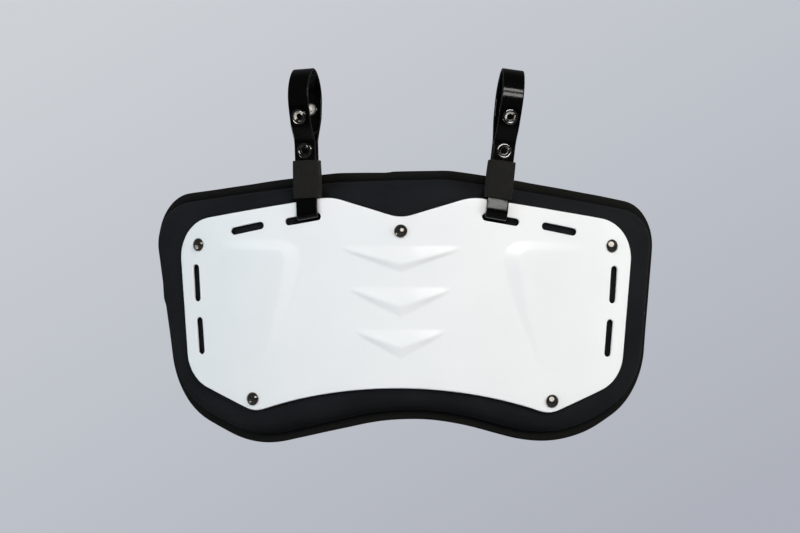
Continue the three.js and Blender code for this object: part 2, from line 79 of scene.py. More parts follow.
# Raised wing panels, highest at the inner upper corner.
WING = {
    "height": 2.8, "u": 85.0, "z": 12.5, "corner": 9.0, "inner_bevel": 12.0, "top_bevel": 6.0, "reach": 56.0,
    "drop": 88.0, "lean": 21.6, "lean_power": 1.5, "inner_taper": 0.75, "fade": 0.8, "round": 0.12,
}

# Pad: corners of the hand-trimmed outline on the right and left, as (u, z, radius).
PAD_FRONT = -3.3
PAD_BACK = -19.0
PAD_CORNERS = {
    "crown_right": (34.8, 70.5, 65.0), "shoulder_right": (213.4, 45.7, 33.0),
    "hip_right": (199.3, -95.8, 62.0), "foot_right": (123.2, -134.9, 112.0),
    "arch": (10.4, -105.5, 192.0), "foot_left": (-115.3, -134.8, 88.0),
    "hip_left": (-194.4, -104.2, 67.0), "shoulder_left": (-226.8, 50.6, 38.5),
    "crown_left": (-49.8, 68.4, 57.0),
}
# The pad's edge from the front face over the rolled shoulder, the crease and the flange to the back.
PAD_EDGE = {
    "face": (23.0, PAD_FRONT), "shoulder": (17.0, -4.2), "roll_top": (12.6, -6.1), "roll": (9.4, -9.2),
    "roll_side": (7.7, -12.6), "roll_foot": (7.0, -15.4), "crease": (6.3, -17.1),
    "flange_root": (5.5, -16.7), "flange": (3.4, -16.4), "flange_edge": (1.1, -16.6),
    "lip_front": (0.25, -17.1), "lip": (0.0, -17.9), "lip_back": (0.35, -18.7),
    "back_edge": (1.3, PAD_BACK), "back": (6.0, PAD_BACK),
}
PAD_STEP = 3.0
PAD_RIM_PARTS = 44
RELAX_ROUNDS = 300
# Where on that edge the flange ends, the painted shade of the crease lies (middle, width, depth), the skin
# is free to swell and the straps press, by the distance in from the outline and by depth.
PAD_ZONES = {
    "flange": (5.4, 6.4), "crease": (6.5, 0.9, -12.0), "free_from": (7.0, 9.0), "free_to": (17.0, 22.0),
    "free_depth": -15.2, "pressed_depth": -15.5,
}
# The pressed swelling of the roll, and to how many neighbours each side it is evened out.
SWELL = {"cap": 1.8, "pressure": 4.0, "steps": 20, "levels": 4, "spread": 5}
# The troughs behind strap and keeper: their margins, lower ends and depths, and the slope of their walls.
PRESS = {
    "strap_margin": 1.2, "strap_end": -4.0, "behind_strap": 0.8,
    "keeper_margin": 2.0, "keeper_end": 13.4, "behind_keeper": 1.6, "slope": 1.1, "round": 0.4,
}
# Marks left by the knife in the outline, as (u, z, height, run before, run after), anticlockwise, and
# how far in from the edge they reach.
PAD_MARKS = {"burr_left": (-211.0, -25.5, 1.3, 15.0, 6.0), "dip_top": (-12.0, 68.0, -0.7, 7.0, 42.0)}
PAD_MARKS_REACH = 7.0
# The knife's slow wander, as (height, waves round the pad, phase).
PAD_WANDER = ((0.2, 7, 0.7), (0.1, 13, 2.1), (0.05, 29, 0.0))

# Rivets, as (u, z), their lathe sizes, and the corners of the foot, as (radius, height, rounding).
RIVET = {
    "head_radius": 4.8, "head_height": 2.8, "rim": 0.4, "rim_round": 0.12, "shank": 2.2, "seat_round": 0.05,
    "hole": 2.6, "dimple": 4.5, "mouth": 11.0, "floor": 5.6, "rows": 26, "turns": 72, "blend": 0.05,
}
RIVET_FOOT = ((0.0, -0.35, 0.0), (1.5, -0.45, 0.3), (2.3, -1.0, 0.35), (4.4, -0.55, 0.4), (4.2, 0.0, 0.15))
RIVETS = {
    "top_left": (-159.6, 15.7), "top_right": (159.6, 15.7), "top_middle": (0.0, 25.5),
    "bottom_left": (-111.6, -97.4), "bottom_right": (111.6, -97.4),
}
# The flat that the hammer left on each dome, as (degrees to the right, degrees up, radius).
STRUCK = {
    "top_left": (0.0, -15.0, 1.7), "top_right": (-20.0, 14.4, 2.2), "top_middle": (10.0, 7.4, 1.3),
    "bottom_left": (-13.0, -8.0, 1.7), "bottom_right": (-11.5, 17.8, 1.9),
}
GAP = 0.3

# Straps: s is the height along the strap over the slot, half the distance of a layer from its middle plane.
STRAP = {
    "u": 68.5, "z": 34.8, "width": 16.0, "thickness": 2.0, "slack": 0.05, "fold": 2.9, "end_gap": 1.4,
    "step": 6.0, "rows": 420,
}
STRAP_MIDDLE = -PLATE_THICKNESS / 2
LAYER = PLATE_THICKNESS / 2 + STRAP["thickness"] / 2 + GAP + STRAP["slack"]
# The band's section: how square its noses are, its stations across the flats, and where its cut edges start.
BAND = {
    "nose_points": 11, "nose_width": 0.55, "nose_depth": 0.75, "flats": (0.93, 0.5, 0.0, -0.5, -0.93),
    "edge": (7.0, 7.7),
}
STRAPS = {"left": (-1, -2.0), "right": (1, 6.7)}
# Under the keeper the front layer bows out: (height, how much more at its left edge).
BOW = {"s": 6.0, "above": 6.5, "below": 2.6, "left": (0.3, -0.6), "right": (0.95, 0.2)}
HANG_HEIGHT = 142.0
# The loop's crown on either side of its top, as (s, half).
CROWN = ((87.0, 11.7), (94.0, 10.9), (100.5, 8.4), (105.4, 4.8))
CROWN_TOP = HANG_HEIGHT - STRAP["z"] + STRAP["thickness"] / 2
# How far each loop is turned about its own length, in degrees, and where the turn starts and ends.
TWIST = {"left": 7.0, "right": 0.0, "from": 45.0, "to": 66.0}
# Up to which height the band slants with its slot in full, and from which height not at all.
SKEW = {"full": 5.0, "none": 13.5}
# How many points to each side the loop's line is evened over, and between which heights that sets in.
EASE = {"reach": 5, "from": 43.0, "to": 50.0}
KEEPER = {
    "bottom": 14.5, "length": 27.4, "wall": 1.2, "corner": 1.7, "bulge": 0.25, "inner_round": 0.4,
    "outer_round": 0.55, "turns": 120, "wall_points": 96,
}
# Stations along the strap where it lies flat under a snap, from the snap's middle.
SNAP_FLAT = np.array([-6.5, -5.0, 0.0, 5.0, 6.5])
# Snap halves, as (layer, s, half, how fast half grows upwards, how far painted shade blackens the recess).
SNAPS = {
    "lower_socket": (1, 49.0, LAYER, 0.0, 0.97), "lower_stud": (-1, 49.0, LAYER, 0.0, 0.3),
    "upper_socket": (1, 73.6, 9.6, 0.22, 0.35), "upper_stud": (-1, 79.5, 10.9, 0.13, 0.3),
}
SNAP_TURNS = 56
# Where painted shade blackens a snap's recess, and where its painted highlight lies, by radius and across
# it.
SNAP_ZONES = {"recess": (3.2, 4.3), "inside": (3.6, 4.1), "painted_highlight_edge": (0.3, 1.3)}
FACE = STRAP["thickness"] / 2 + GAP
RING = ((5.5, FACE, 0.2), (5.5, FACE + 0.95, 0.25), (4.65, FACE + 1.3, 1.7), (3.8, FACE + 0.95, 0.25))
SOCKET = (
    (2.15, -FACE - 1.9, 0.2), (5.0, -FACE - 2.0, 0.5), (5.2, -FACE, 0.1), (2.65, -FACE, 0.1),
    (2.65, FACE, 0.1), *RING, (2.9, FACE - 0.15, 0.3), (2.15, FACE - 0.3, 0.15),
)
STUD = (
    (0.0, -FACE - 2.6, 0.0), (1.75, -FACE - 2.55, 0.45), (1.5, -FACE - 0.9, 0.25), (4.8, -FACE - 0.75, 0.3),
    (4.9, -FACE, 0.1), (2.65, -FACE, 0.1), (2.65, FACE, 0.1), *RING,
    (2.3, FACE + 0.05, 0.3), (0.0, FACE, 0.0),
)
ARC_POINTS = 9
OUTLINE_POINTS = 33
# Edges turned by more than these angles, in degrees, stay sharp.
SHARP = {"plate": 32.0, "snap": 40.0, "rivet": 40.0}

# Camera, in millimetres and degrees, from the picture's perspective.
CAMERA = {"lens": 84.0, "sensor": 36.0, "distance": 1344.0, "yaw": 3.47, "aside": 0.44, "roll": 0.2155}


# Bending and plane curves

def bend(u, n, z):
    """Arc length u turns into the angle u / R about the upright axis, n adds to the radius and z stays."""
    angle = u / BEND_RADIUS
    radius = BEND_RADIUS + n
    return np.stack(np.broadcast_arrays(
        radius * np.sin(angle), BEND_RADIUS - radius * np.cos(angle), z), -1)


HANG = bend(STRAP["u"], STRAP_MIDDLE, HANG_HEIGHT) * (0, 1, 1)


def placed(points):
    """Millimetres in the bent frame moved so that the hang line is the origin, in metres."""
    return MM * (points - HANG)


def unbend(points):
    """The bend taken back: (u, n, z) from metres in the part's frame."""
    x, y, z = np.moveaxis(points / MM + HANG, -1, 0)
    depth = BEND_RADIUS - y
    return BEND_RADIUS * np.arctan2(x, depth), np.hypot(x, depth) - BEND_RADIUS, z


def unit(vectors):
    """Vectors over their own lengths."""
    return vectors / np.linalg.norm(vectors, axis=-1, keepdims=True)


def soft_min(a, b, width):
    """The lower of two heights, with the crease between them rounded over a width."""
    share = np.clip(0.5 + 0.5 * (b - a) / width, 0, 1)
    return b + (a - b) * share - width * share * (1 - share)


def smooth_step(value, low, high):
    """From zero at the low end to one at the high end along the cubic with level ends."""
    share = np.clip((value - low) / (high - low), 0, 1)
    return share * share * (3 - 2 * share)


def rounded(corners, closed=True, count=ARC_POINTS):
    """A polygon whose corners (x, y, radius) give way to arcs tangent to both sides, as points in order."""
    table = np.array(corners, float)
    at, radius = table[:, :2], table[:, 2]
    back = np.roll(at, 1, 0) - at
    ahead = np.roll(at, -1, 0) - at
    if not closed:
        back[0], ahead[-1] = -ahead[0], -back[-1]
    back, ahead = unit(back), unit(ahead)
    half = np.arccos(np.clip((back * ahead).sum(1), -1, 1)) / 2
    lean = back + ahead
    lean = np.where(np.abs(lean).max(1, keepdims=True) > 1e-9, lean, (1, 0))
    middle = at + unit(lean) * (radius / np.sin(half))[:, None]
    start = at + back * (radius / np.tan(half))[:, None] - middle
    turn = (np.pi - 2 * half) * np.sign(ahead[:, 0] * back[:, 1] - ahead[:, 1] * back[:, 0])
    angle = np.arctan2(start[:, 1], start[:, 0])[:, None] + turn[:, None] * np.linspace(0, 1, count)
    arcs = middle[:, None] + radius[:, None, None] * np.stack([np.cos(angle), np.sin(angle)], -1)
    return arcs.reshape(-1, 2)


def lengths(line):
    """How far along a line each of its points lies."""
    return np.concatenate([[0], np.cumsum(np.linalg.norm(np.diff(line, axis=0), axis=1))])


def along(line, count):
    """An open line cut into equal steps by its own length."""
    run = lengths(line)
    at = np.linspace(0, run[-1], count)
    return np.stack([np.interp(at, run, column) for column in line.T], 1)


def through(points, count):
    """A smooth line through points: the centripetal Catmull-Rom curve, as blends of blends of neighbours."""
    points = np.vstack([2 * points[0] - points[1], points, 2 * points[-1] - points[-2]])
    knots = np.concatenate([[0], np.cumsum(np.sqrt(np.linalg.norm(np.diff(points, axis=0), axis=1)))])
    t = np.linspace(knots[1], knots[-2], 12 * count)
    k = np.clip(np.searchsorted(knots, t, side="right") - 1, 1, len(knots) - 3)
    p = [points[k + i] for i in (-1, 0, 1, 2)]
    w = [knots[k + i] for i in (-1, 0, 1, 2)]

    def mix(a, b, low, high):
        share = ((t - low) / (high - low))[:, None]
        return a + (b - a) * share

    first = [mix(p[i], p[i + 1], w[i], w[i + 1]) for i in range(3)]
    second = [mix(first[i], first[i + 1], w[i], w[i + 2]) for i in range(2)]
    return along(mix(second[0], second[1], w[1], w[2]), count)


# Meshes from arrays

def quads(index, flip=False):
    """Quads between neighbours of an index table, anticlockwise where rows go up and columns right."""
    table = np.stack([index[:-1, :-1], index[:-1, 1:], index[1:, 1:], index[1:, :-1]], -1).reshape(-1, 4)
    return table[:, ::-1] if flip else table


def fan(tip, ring, flip=False):
    """Triangles from one point to a closed ring."""
    table = np.stack([np.full(len(ring), tip), ring, np.roll(ring, -1)], 1)
    return table[:, ::-1] if flip else table


def wrapped(index):
    """An index table whose first column follows its last one."""
    return np.hstack([index, index[:, :1]])


def make_piece(name, points, four, three=None, flat=None, marks=None):
    """A smooth-shaded object from points in metres, quads, triangles, and a UV pair and marks per point."""
    three = np.empty((0, 3), int) if three is None else three
    corners = np.concatenate([four.ravel(), three.ravel()]).astype(np.int32)
    sizes = np.concatenate([np.full(len(four), 4), np.full(len(three), 3)])
    mesh = bpy.data.meshes.new(name)
    mesh.vertices.add(len(points))
    mesh.vertices.foreach_set("co", points.astype(np.float32).ravel())
    mesh.loops.add(len(corners))
    mesh.loops.foreach_set("vertex_index", corners)
    mesh.polygons.add(len(sizes))
    mesh.polygons.foreach_set("loop_start", np.concatenate([[0], np.cumsum(sizes)[:-1]]).astype(np.int32))
    mesh.update(calc_edges=True)
    mesh.validate()
    if flat is not None:
        mesh.uv_layers.new(name="flat").data.foreach_set("uv", flat[corners].astype(np.float32).ravel())
    for mark, values in (marks or {}).items():
        mesh.attributes.new(mark, "FLOAT", "POINT").data.foreach_set("value", values.astype(np.float32))
    mesh.shade_smooth()
    piece = bpy.data.objects.new(name, mesh)
    bpy.context.scene.collection.objects.link(piece)
    return piece


def finish_piece(piece, material, node, crease=None):
    """Shading, material and the piece's place in the frame."""
    if crease:
        piece.data.set_sharp_from_angle(angle=np.radians(crease))
    piece.data.materials.clear()
    piece.data.materials.append(material)
    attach(piece, BODY)
    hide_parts(node)
    return piece


def apply_modifiers(piece):
    """The evaluated mesh takes the place of the mesh and its modifiers."""
    result = bpy.data.meshes.new_from_object(piece.evaluated_get(bpy.context.evaluated_depsgraph_get()))
    old = piece.data
    piece.modifiers.clear()
    piece.data = result
    bpy.data.meshes.remove(old)


# Sheets with a rim

def border(table):
    """The border of a table of rows and columns, once round, anticlockwise from the lower left."""
    return np.concatenate([table[0, :-1], table[:-1, -1], table[-1, :0:-1], table[:0:-1, 0]])


def closed_skin(rows, columns, rings):
    """Quads of a front sheet, rings that leave its border round the rim, and a back sheet."""
    front = np.arange(rows * columns).reshape(rows, columns)
    back = front + front.size
    edge = border(front)
    rim = 2 * front.size + np.arange(rings * edge.size).reshape(rings, edge.size)
    loops = wrapped(np.vstack([edge, rim, border(back)]))
    return np.vstack([quads(front), quads(loops, flip=True), quads(back, flip=True)])


def side_points(outline, first, last, axis, share):
    """Points of an outline between two of its corners' middles, by their share of one coordinate's run."""
    middle = OUTLINE_POINTS // 2
    stretch = np.arange(first * OUTLINE_POINTS + middle, last * OUTLINE_POINTS + middle + 1) % len(outline)
    line = outline[stretch]
    if line[0, axis] > line[-1, axis]:
        line = line[::-1]
    at = line[0, axis] + (line[-1, axis] - line[0, axis]) * share
    other = np.interp(at, line[:, axis], line[:, 1 - axis])
    return np.stack([at, other] if axis == 0 else [other, at], 1)


def outline_ring(outline, turns, across, up):
    """The outline once round, anticlockwise, with the rows' and columns' shares along its four sides.

    turns gives the corners where the sides meet, clockwise from the upper left one.
    """
    upper_left, upper_right, lower_right, lower_left = turns
    count = len(outline) // OUTLINE_POINTS
    top = side_points(outline, upper_left, upper_right, 0, across)
    right = side_points(outline, upper_right, lower_right, 1, up)
    bottom = side_points(outline, lower_right, lower_left, 0, across)
    left = side_points(outline, lower_left, upper_left + count, 1, up)
    return np.vstack([bottom[:-1], right[:-1], top[:0:-1], left[:0:-1]])


def outward_of(ring):
    """Unit normals of an anticlockwise ring, square to its slope by its own length."""
    loop = np.vstack([ring[-2:], ring, ring[:2]])
    slope = unit(np.gradient(loop, lengths(loop), axis=0)[2:-2])
    return np.stack([slope[:, 1], -slope[:, 0]], 1)


def filled(ring, across, up):
    """The sheet inside a ring: both ruled sheets between opposite sides, less the one through the corners.

    Each inner point then moves to the mean of its four neighbours, over and over, which opens the corners.
    """
    columns, rows = len(across) - 1, len(up) - 1
    loop = np.vstack([ring, ring[:1]])
    bottom = loop[:columns + 1]
    right = loop[columns:columns + rows + 1]
    top = loop[columns + rows:2 * columns + rows + 1][::-1]
    left = loop[2 * columns + rows:][::-1]
    s, t = across[None, :, None], up[:, None, None]
    ruled = (1 - t) * bottom + t * top + (1 - s) * left[:, None] + s * right[:, None]
    flat = (1 - t) * ((1 - s) * bottom[0] + s * bottom[-1]) + t * ((1 - s) * top[0] + s * top[-1])
    sheet = ruled - flat
    for _ in range(RELAX_ROUNDS):
        beside = sheet[1:-1, :-2] + sheet[1:-1, 2:]
        sheet[1:-1, 1:-1] = (sheet[:-2, 1:-1] + sheet[2:, 1:-1] + beside) / 4
    return sheet


def spaced(marks, steps):
    """Stations from the first mark to the last, each stretch cut into equal parts within its step."""
    stretches = [
        np.linspace(a, b, int(np.ceil((b - a) / step)) + 1)[:-1]
        for a, b, step in zip(marks, marks[1:], steps)
    ]
    stations = np.append(np.concatenate(stretches), marks[-1])
    return (stations - stations[0]) / (stations[-1] - stations[0])


# Plate

def ridge_height(u, z, half_width, top, edge_apex, base_apex):
    """The lower of a ramp, from the top line out to the V edge, and a facet back from it, over zero."""
    near = np.clip(1 - np.abs(u) / half_width, 0, 1)
    tip = top - RIDGE["tip_drop"]
    edge = tip + (edge_apex - tip) * near
    base = tip - RIDGE["tip_facet"] + (base_apex - tip + RIDGE["tip_facet"]) * near
    height = RIDGE["height"] * np.minimum(1, RIDGE["tip_rise"] * near)
    ramp = height * (top - z) / (top - edge)
    facet = height * (z - base) / (edge - base)
    return np.maximum(0, soft_min(ramp, facet, RIDGE["round"]))


def wing_height(u, z):
    """A panel that falls away outwards and down, times a bevel that drops from one to zero past its edge.

    The edge runs down the inner side, turns round a corner arc and goes out along the top. The bevel's width
    is the inner one and the top one, mixed by the squares of how far the point lies beyond either side.
    """
    down = np.clip((WING["z"] - z) / WING["drop"], 0, 1)
    inner = WING["u"] + WING["lean"] * down ** WING["lean_power"]
    out = np.clip((np.abs(u) - inner) / WING["reach"], 0, 1)
    panel = WING["height"] * (1 - out) * (1 - down) ** WING["fade"]
    aside = np.maximum(inner - np.abs(u) + WING["corner"], 0)
    above = np.maximum(z - WING["z"] + WING["corner"], 0)
    away = np.maximum(np.hypot(aside, above), WING["corner"] / 2)
    inner_width = WING["inner_bevel"] * (1 - WING["inner_taper"] * down)
    width = (inner_width * aside ** 2 + WING["top_bevel"] * (away ** 2 - aside ** 2)) / away ** 2
    bevel = 1 - (away - WING["corner"]) / width
    return panel * np.maximum(0, soft_min(np.ones_like(bevel), bevel, WING["round"]))


def relief(u, z):
    """Height of the plate's face over its plain curve: the ridges, or the wings, whichever is higher."""
    heights = [ridge_height(u, z, *row) for row in RIDGES.values()]
    return np.maximum.reduce([*heights, wing_height(u, z)])


def plate_corners():
    """The right half's corners and their mirror images, once round."""
    half = list(PLATE_CORNERS.values())
    return half + [(-u, z, radius) for u, z, radius in half[-2:0:-1]]


def slot_cutters():
    """Closed bent tubes: a stadium ring carried along the depth, wider at the front lip and the back."""
    turn = np.linspace(-np.pi / 2, np.pi / 2, SLOT["turns"])
    reach = (SLOT["length"] - SLOT["width"]) / 2
    lip = SLOT["lip"]
    flare = SLOT["flare"]
    step = lip * SLOT["lip_step"]
    wall = SLOT["wall"]
    past = SLOT["past_plate"]
    depths = np.array([past, SLOT["over_face"], -step, -lip, -wall, -wall - flare, -past])
    grows = np.array([lip, lip, step, 0.0, 0.0, flare, flare])
    rows = [
        (u * sign, z, -tilt * sign, reach, SLOT["width"] / 2)
        for u, z, tilt in SLOTS.values() for sign in (-1, 1)
    ]
    rows += [(u, z, 0.0, 0.0, RIVET["hole"]) for u, z in RIVETS.values()]
    points, four, three, count = [], [], [], 0
    for u, z, tilt, straight, radius in rows:
        angle = np.concatenate([turn, turn + np.pi])
        shift = straight * np.sign(np.cos(angle) + 1e-9 * np.repeat([1, -1], len(turn)))
        size = radius + grows[:, None]
        x = shift + size * np.cos(angle)
        y = size * np.sin(angle)
        c, s = np.cos(np.radians(tilt)), np.sin(np.radians(tilt))
        walls = bend(u + c * x - s * y, depths[:, None], z + s * x + c * y)
        tips = bend(np.array([u, u]), depths[[0, -1]], np.array([z, z]))
        index = count + np.arange(walls.shape[0] * walls.shape[1]).reshape(walls.shape[:2])
        four.append(quads(wrapped(index), flip=True))
        three.append(fan(index[-1, -1] + 1, index[0]))
        three.append(fan(index[-1, -1] + 2, index[-1], flip=True))
        points += [walls.reshape(-1, 3), tips]
        count += walls.shape[0] * walls.shape[1] + 2
    return make_piece("slot_cutters", placed(np.vstack(points)), np.vstack(four), np.vstack(three))


def build_plate(material):
    """Two sheets over the outline, the front one raised by the relief, joined round a half-round rim."""
    outline = rounded(plate_corners(), count=OUTLINE_POINTS)
    names = list(PLATE_CORNERS)
    right, low = names.index("shoulder"), names.index("hip")
    count = len(outline) // OUTLINE_POINTS
    across = spaced(PLATE_COLUMNS["marks"], PLATE_COLUMNS["steps"])
    up = np.linspace(0, 1, PLATE_ROWS)
    ring = outline_ring(outline, (-right, right, low, count - low), across, up)
    normal = outward_of(ring)
    sheet = filled(ring - PLATE_EDGE * normal, across, up)
    u, z = sheet[..., 0], sheet[..., 1]
    rise = relief(u, z)
    front = bend(u, rise, z).reshape(-1, 3)
    back = bend(u, -PLATE_THICKNESS + np.minimum(rise, PLATE_THICKNESS), z).reshape(-1, 3)
    angle = np.linspace(np.pi / 2, -np.pi / 2, PLATE_RIM_PARTS + 2)[1:-1]
    half = PLATE_THICKNESS / 2
    inset = PLATE_EDGE * (1 - np.abs(np.cos(angle)) ** PLATE_RIM_SQUARE)
    rim_flat = ring[None] - inset[:, None, None] * normal
    depth = -half + half * np.sign(np.sin(angle)) * np.abs(np.sin(angle)) ** PLATE_RIM_SQUARE
    rim = bend(rim_flat[..., 0], depth[:, None], rim_flat[..., 1]).reshape(-1, 3)
    skin = closed_skin(len(up), len(across), PLATE_RIM_PARTS)
    plate = make_piece("moulded_plate", placed(np.vstack([front, back, rim])), skin)
    cutters = slot_cutters()
    cut = plate.modifiers.new("slots", "BOOLEAN")
    cut.operation, cut.solver, cut.object = "DIFFERENCE", "EXACT", cutters
    apply_modifiers(plate)
    bpy.data.objects.remove(cutters)
    plate.data.shade_smooth()
    return finish_piece(plate, material, "plate", SHARP["plate"])


# Pad

def strap_coordinates(u, z, sign, lean):
    """Flat points seen along a strap: across it, and up along it from its slot."""
    c, s = np.cos(np.radians(lean)), np.sin(np.radians(lean))
    x, y = u - sign * STRAP["u"], z - STRAP["z"]
    return c * x - s * y, s * x + c * y


def pressed(u, n, z):
    """The pad's face pushed back behind straps and keepers: a flat floor with sloping foam walls."""
    half = STRAP["width"] / 2
    floor = -PLATE_THICKNESS - STRAP["thickness"] - PRESS["behind_strap"]
    troughs = (
        (half + PRESS["strap_margin"], PRESS["strap_end"], floor),
        (half + PRESS["keeper_margin"], PRESS["keeper_end"], floor - PRESS["behind_keeper"]),
    )
    for sign, lean in STRAPS.values():
        side, s = strap_coordinates(u, z, sign, lean)
        for reach, end, depth in troughs:
            outside = np.maximum(np.abs(side) - reach, end - s)
            n = soft_min(n, depth + PRESS["slope"] * np.maximum(outside, 0), PRESS["round"])
    return n


def dimples(u, z):
    """Depth of the round hollows in the pad's back, one behind each rivet."""
    depth = np.zeros_like(u)
    for at_u, at_z in RIVETS.values():
        away = np.hypot(u - at_u, z - at_z)
        depth = np.maximum(depth, RIVET["dimple"] * (1 - smooth_step(away, RIVET["floor"], RIVET["mouth"])))
    return depth


def trimming(ring):
    """How far out the knife strayed round the ring: a slow wander and its marks, each a lopsided hump."""
    run = lengths(np.vstack([ring, ring[:1]]))
    turn = 2 * np.pi * run[:-1] / run[-1]
    stray = sum(height * np.sin(waves * turn + phase) for height, waves, phase in PAD_WANDER)
    for u, z, height, before, after in PAD_MARKS.values():
        start = np.argmin(np.hypot(ring[:, 0] - u, ring[:, 1] - z))
        ahead = (run[:-1] - run[start] + run[-1] / 2) % run[-1] - run[-1] / 2
        near = np.where(ahead < 0, 1 + ahead / before, 1 - ahead / after)
        stray = stray + height * smooth_step(near, 0, 1)
    return stray


def evened(rows):
    """Rows of values round a ring, each value the mean of its neighbours to both sides."""
    shifts = range(-SWELL["spread"], SWELL["spread"] + 1)
    return np.mean([np.roll(rows, shift, axis=1) for shift in shifts], axis=0)


def swell(pad, held):
    """Cloth under pressure: held points stay, the rest of the skin swells, by no more than a cap."""
    before = np.empty(3 * len(pad.data.vertices), np.float32)
    pad.data.vertices.foreach_get("co", before)
    before = before.reshape(-1, 3)
    group = pad.vertex_groups.new(name="held")
    for level in np.unique(held):
        group.add(np.flatnonzero(held == level).tolist(), float(level), "REPLACE")
    cloth = pad.modifiers.new("swell", "CLOTH")
    cloth.settings.vertex_group_mass = "held"
    cloth.settings.use_pressure = True
    cloth.settings.uniform_pressure_force = SWELL["pressure"]
    cloth.settings.effector_weights.gravity = 0
    for step in range(1, SWELL["steps"] + 1):
        bpy.context.scene.frame_set(step)
    shaped = pad.evaluated_get(bpy.context.evaluated_depsgraph_get()).to_mesh()
    after = np.empty_like(before).ravel()
    shaped.vertices.foreach_get("co", after)
    pad.modifiers.clear()
    pad.vertex_groups.clear()
    bpy.context.scene.frame_set(1)
    move = after.reshape(-1, 3) - before
    length = np.linalg.norm(move, axis=1, keepdims=True)
    return before + move * np.minimum(1, SWELL["cap"] * MM / np.maximum(length, 1e-9))


def build_pad(material):
    """A front and a back sheet over the trimmed outline, joined by the edge's profile carried round it."""
    outline = rounded(list(PAD_CORNERS.values()), count=OUTLINE_POINTS)
    names = list(PAD_CORNERS)
    turns = [names.index(name) for name in ("shoulder_left", "shoulder_right", "hip_right", "hip_left")]
    turns[0] -= len(names)
    span = np.ptp(outline, axis=0)
    across = np.linspace(0, 1, int(span[0] / PAD_STEP))
    up = np.linspace(0, 1, int(span[1] / PAD_STEP))
    ring = outline_ring(outline, turns, across, up)
    normal = outward_of(ring)
    edge = through(np.array(list(PAD_EDGE.values())), PAD_RIM_PARTS)
    inner = filled(ring - edge[0, 0] * normal, across, up)
    rear = filled(ring - edge[-1, 0] * normal, across, up)
    inset = edge[1:-1, :1]
    out = trimming(ring) * (1 - smooth_step(inset, 0, PAD_MARKS_REACH)) - inset
    rim = ring + out[..., None] * normal
    rim_depth = np.broadcast_to(edge[1:-1, 1:], rim.shape[:2])
    parts = [
        (inner[..., 0], np.full(inner.shape[:2], PAD_FRONT), inner[..., 1]),
        (rear[..., 0], np.full(rear.shape[:2], PAD_BACK), rear[..., 1]),
        (rim[..., 0], rim_depth, rim[..., 1]),
    ]
    u, n, z = (np.concatenate([part[i].ravel() for part in parts]) for i in range(3))
    sheet, band = inner[..., 0].size, rim[..., 0].size
    stations = np.broadcast_to(inset, rim.shape[:2]).ravel()
    depths = rim_depth.ravel()
    flange = np.concatenate([np.zeros(2 * sheet), 1 - smooth_step(stations, *PAD_ZONES["flange"])])
    # Painted shade along the crease: a narrow band on the deeper points of the edge, darkened in the fabric.
    middle, width, depth = PAD_ZONES["crease"]
    crease = np.exp(-((stations - middle) / width) ** 2) * (depths < depth)
    crease = np.concatenate([np.zeros(2 * sheet), crease])
    pad = make_piece(
        "foam_cover", placed(bend(u, n, z)), closed_skin(len(up), len(across), PAD_RIM_PARTS - 2),
        flat=np.stack([u, z], 1), marks={"flange": flange, "crease": crease})
    free = smooth_step(stations, *PAD_ZONES["free_from"]) * (depths > PAD_ZONES["free_depth"])
    free = free * (1 - smooth_step(stations, *PAD_ZONES["free_to"]))
    levels = SWELL["levels"]
    held = np.round(levels * (1 - np.concatenate([np.zeros(2 * sheet), free]))) / levels
    swelled = unbend(swell(pad, held))
    moves = [
        (after - before)[2 * sheet:].reshape(rim.shape[:2])
        for after, before in zip(swelled, (u, n, z))
    ]
    out = evened(moves[0] * normal[:, 0] + moves[2] * normal[:, 1])
    u[2 * sheet:] += (out * normal[:, 0]).ravel()
    n[2 * sheet:] += evened(moves[1]).ravel()
    z[2 * sheet:] += (out * normal[:, 1]).ravel()
    front = np.concatenate([np.ones(sheet, bool), np.zeros(sheet, bool), np.ones(band, bool)])
    face = np.where(n > PAD_ZONES["pressed_depth"], pressed(u, n, z), n)
    n = np.where(front, face, n + dimples(u, z))
    pad.data.vertices.foreach_set("co", placed(bend(u, n, z)).astype(np.float32).ravel())
    pad.data.update()
    finish_piece(pad, material, "foam_pad")
    return pad


# Straps

def strap_frame(side):
    """Where a strap stands: its foot in millimetres, and its front, up and side directions as rows."""
    sign, lean = STRAPS[side]
    angle = sign * STRAP["u"] / BEND_RADIUS
    front = np.array([np.sin(angle), -np.cos(angle), 0])
    across = np.array([np.cos(angle), np.sin(angle), 0])
    up = np.cos(np.radians(lean)) * np.array([0, 0, 1]) + np.sin(np.radians(lean)) * across
    return bend(sign * STRAP["u"], 0.0, STRAP["z"]), np.stack([front, up, np.cross(front, up)])


def on_strap(side, points):
    """Points (front, along, across) of a strap, its loop turned about its length, in the part's frame."""
    foot, axes = strap_frame(side)
    middle = np.array([STRAP_MIDDLE, 0.0, 0.0])
    front, rise, across = (points - middle).T
    turn = np.radians(TWIST[side]) * smooth_step(rise, TWIST["from"], TWIST["to"])
    c, s = np.cos(turn), np.sin(turn)
    twisted = np.stack([c * front - s * across, rise, c * across + s * front], 1)
    return placed(foot + (middle + twisted) @ axes)


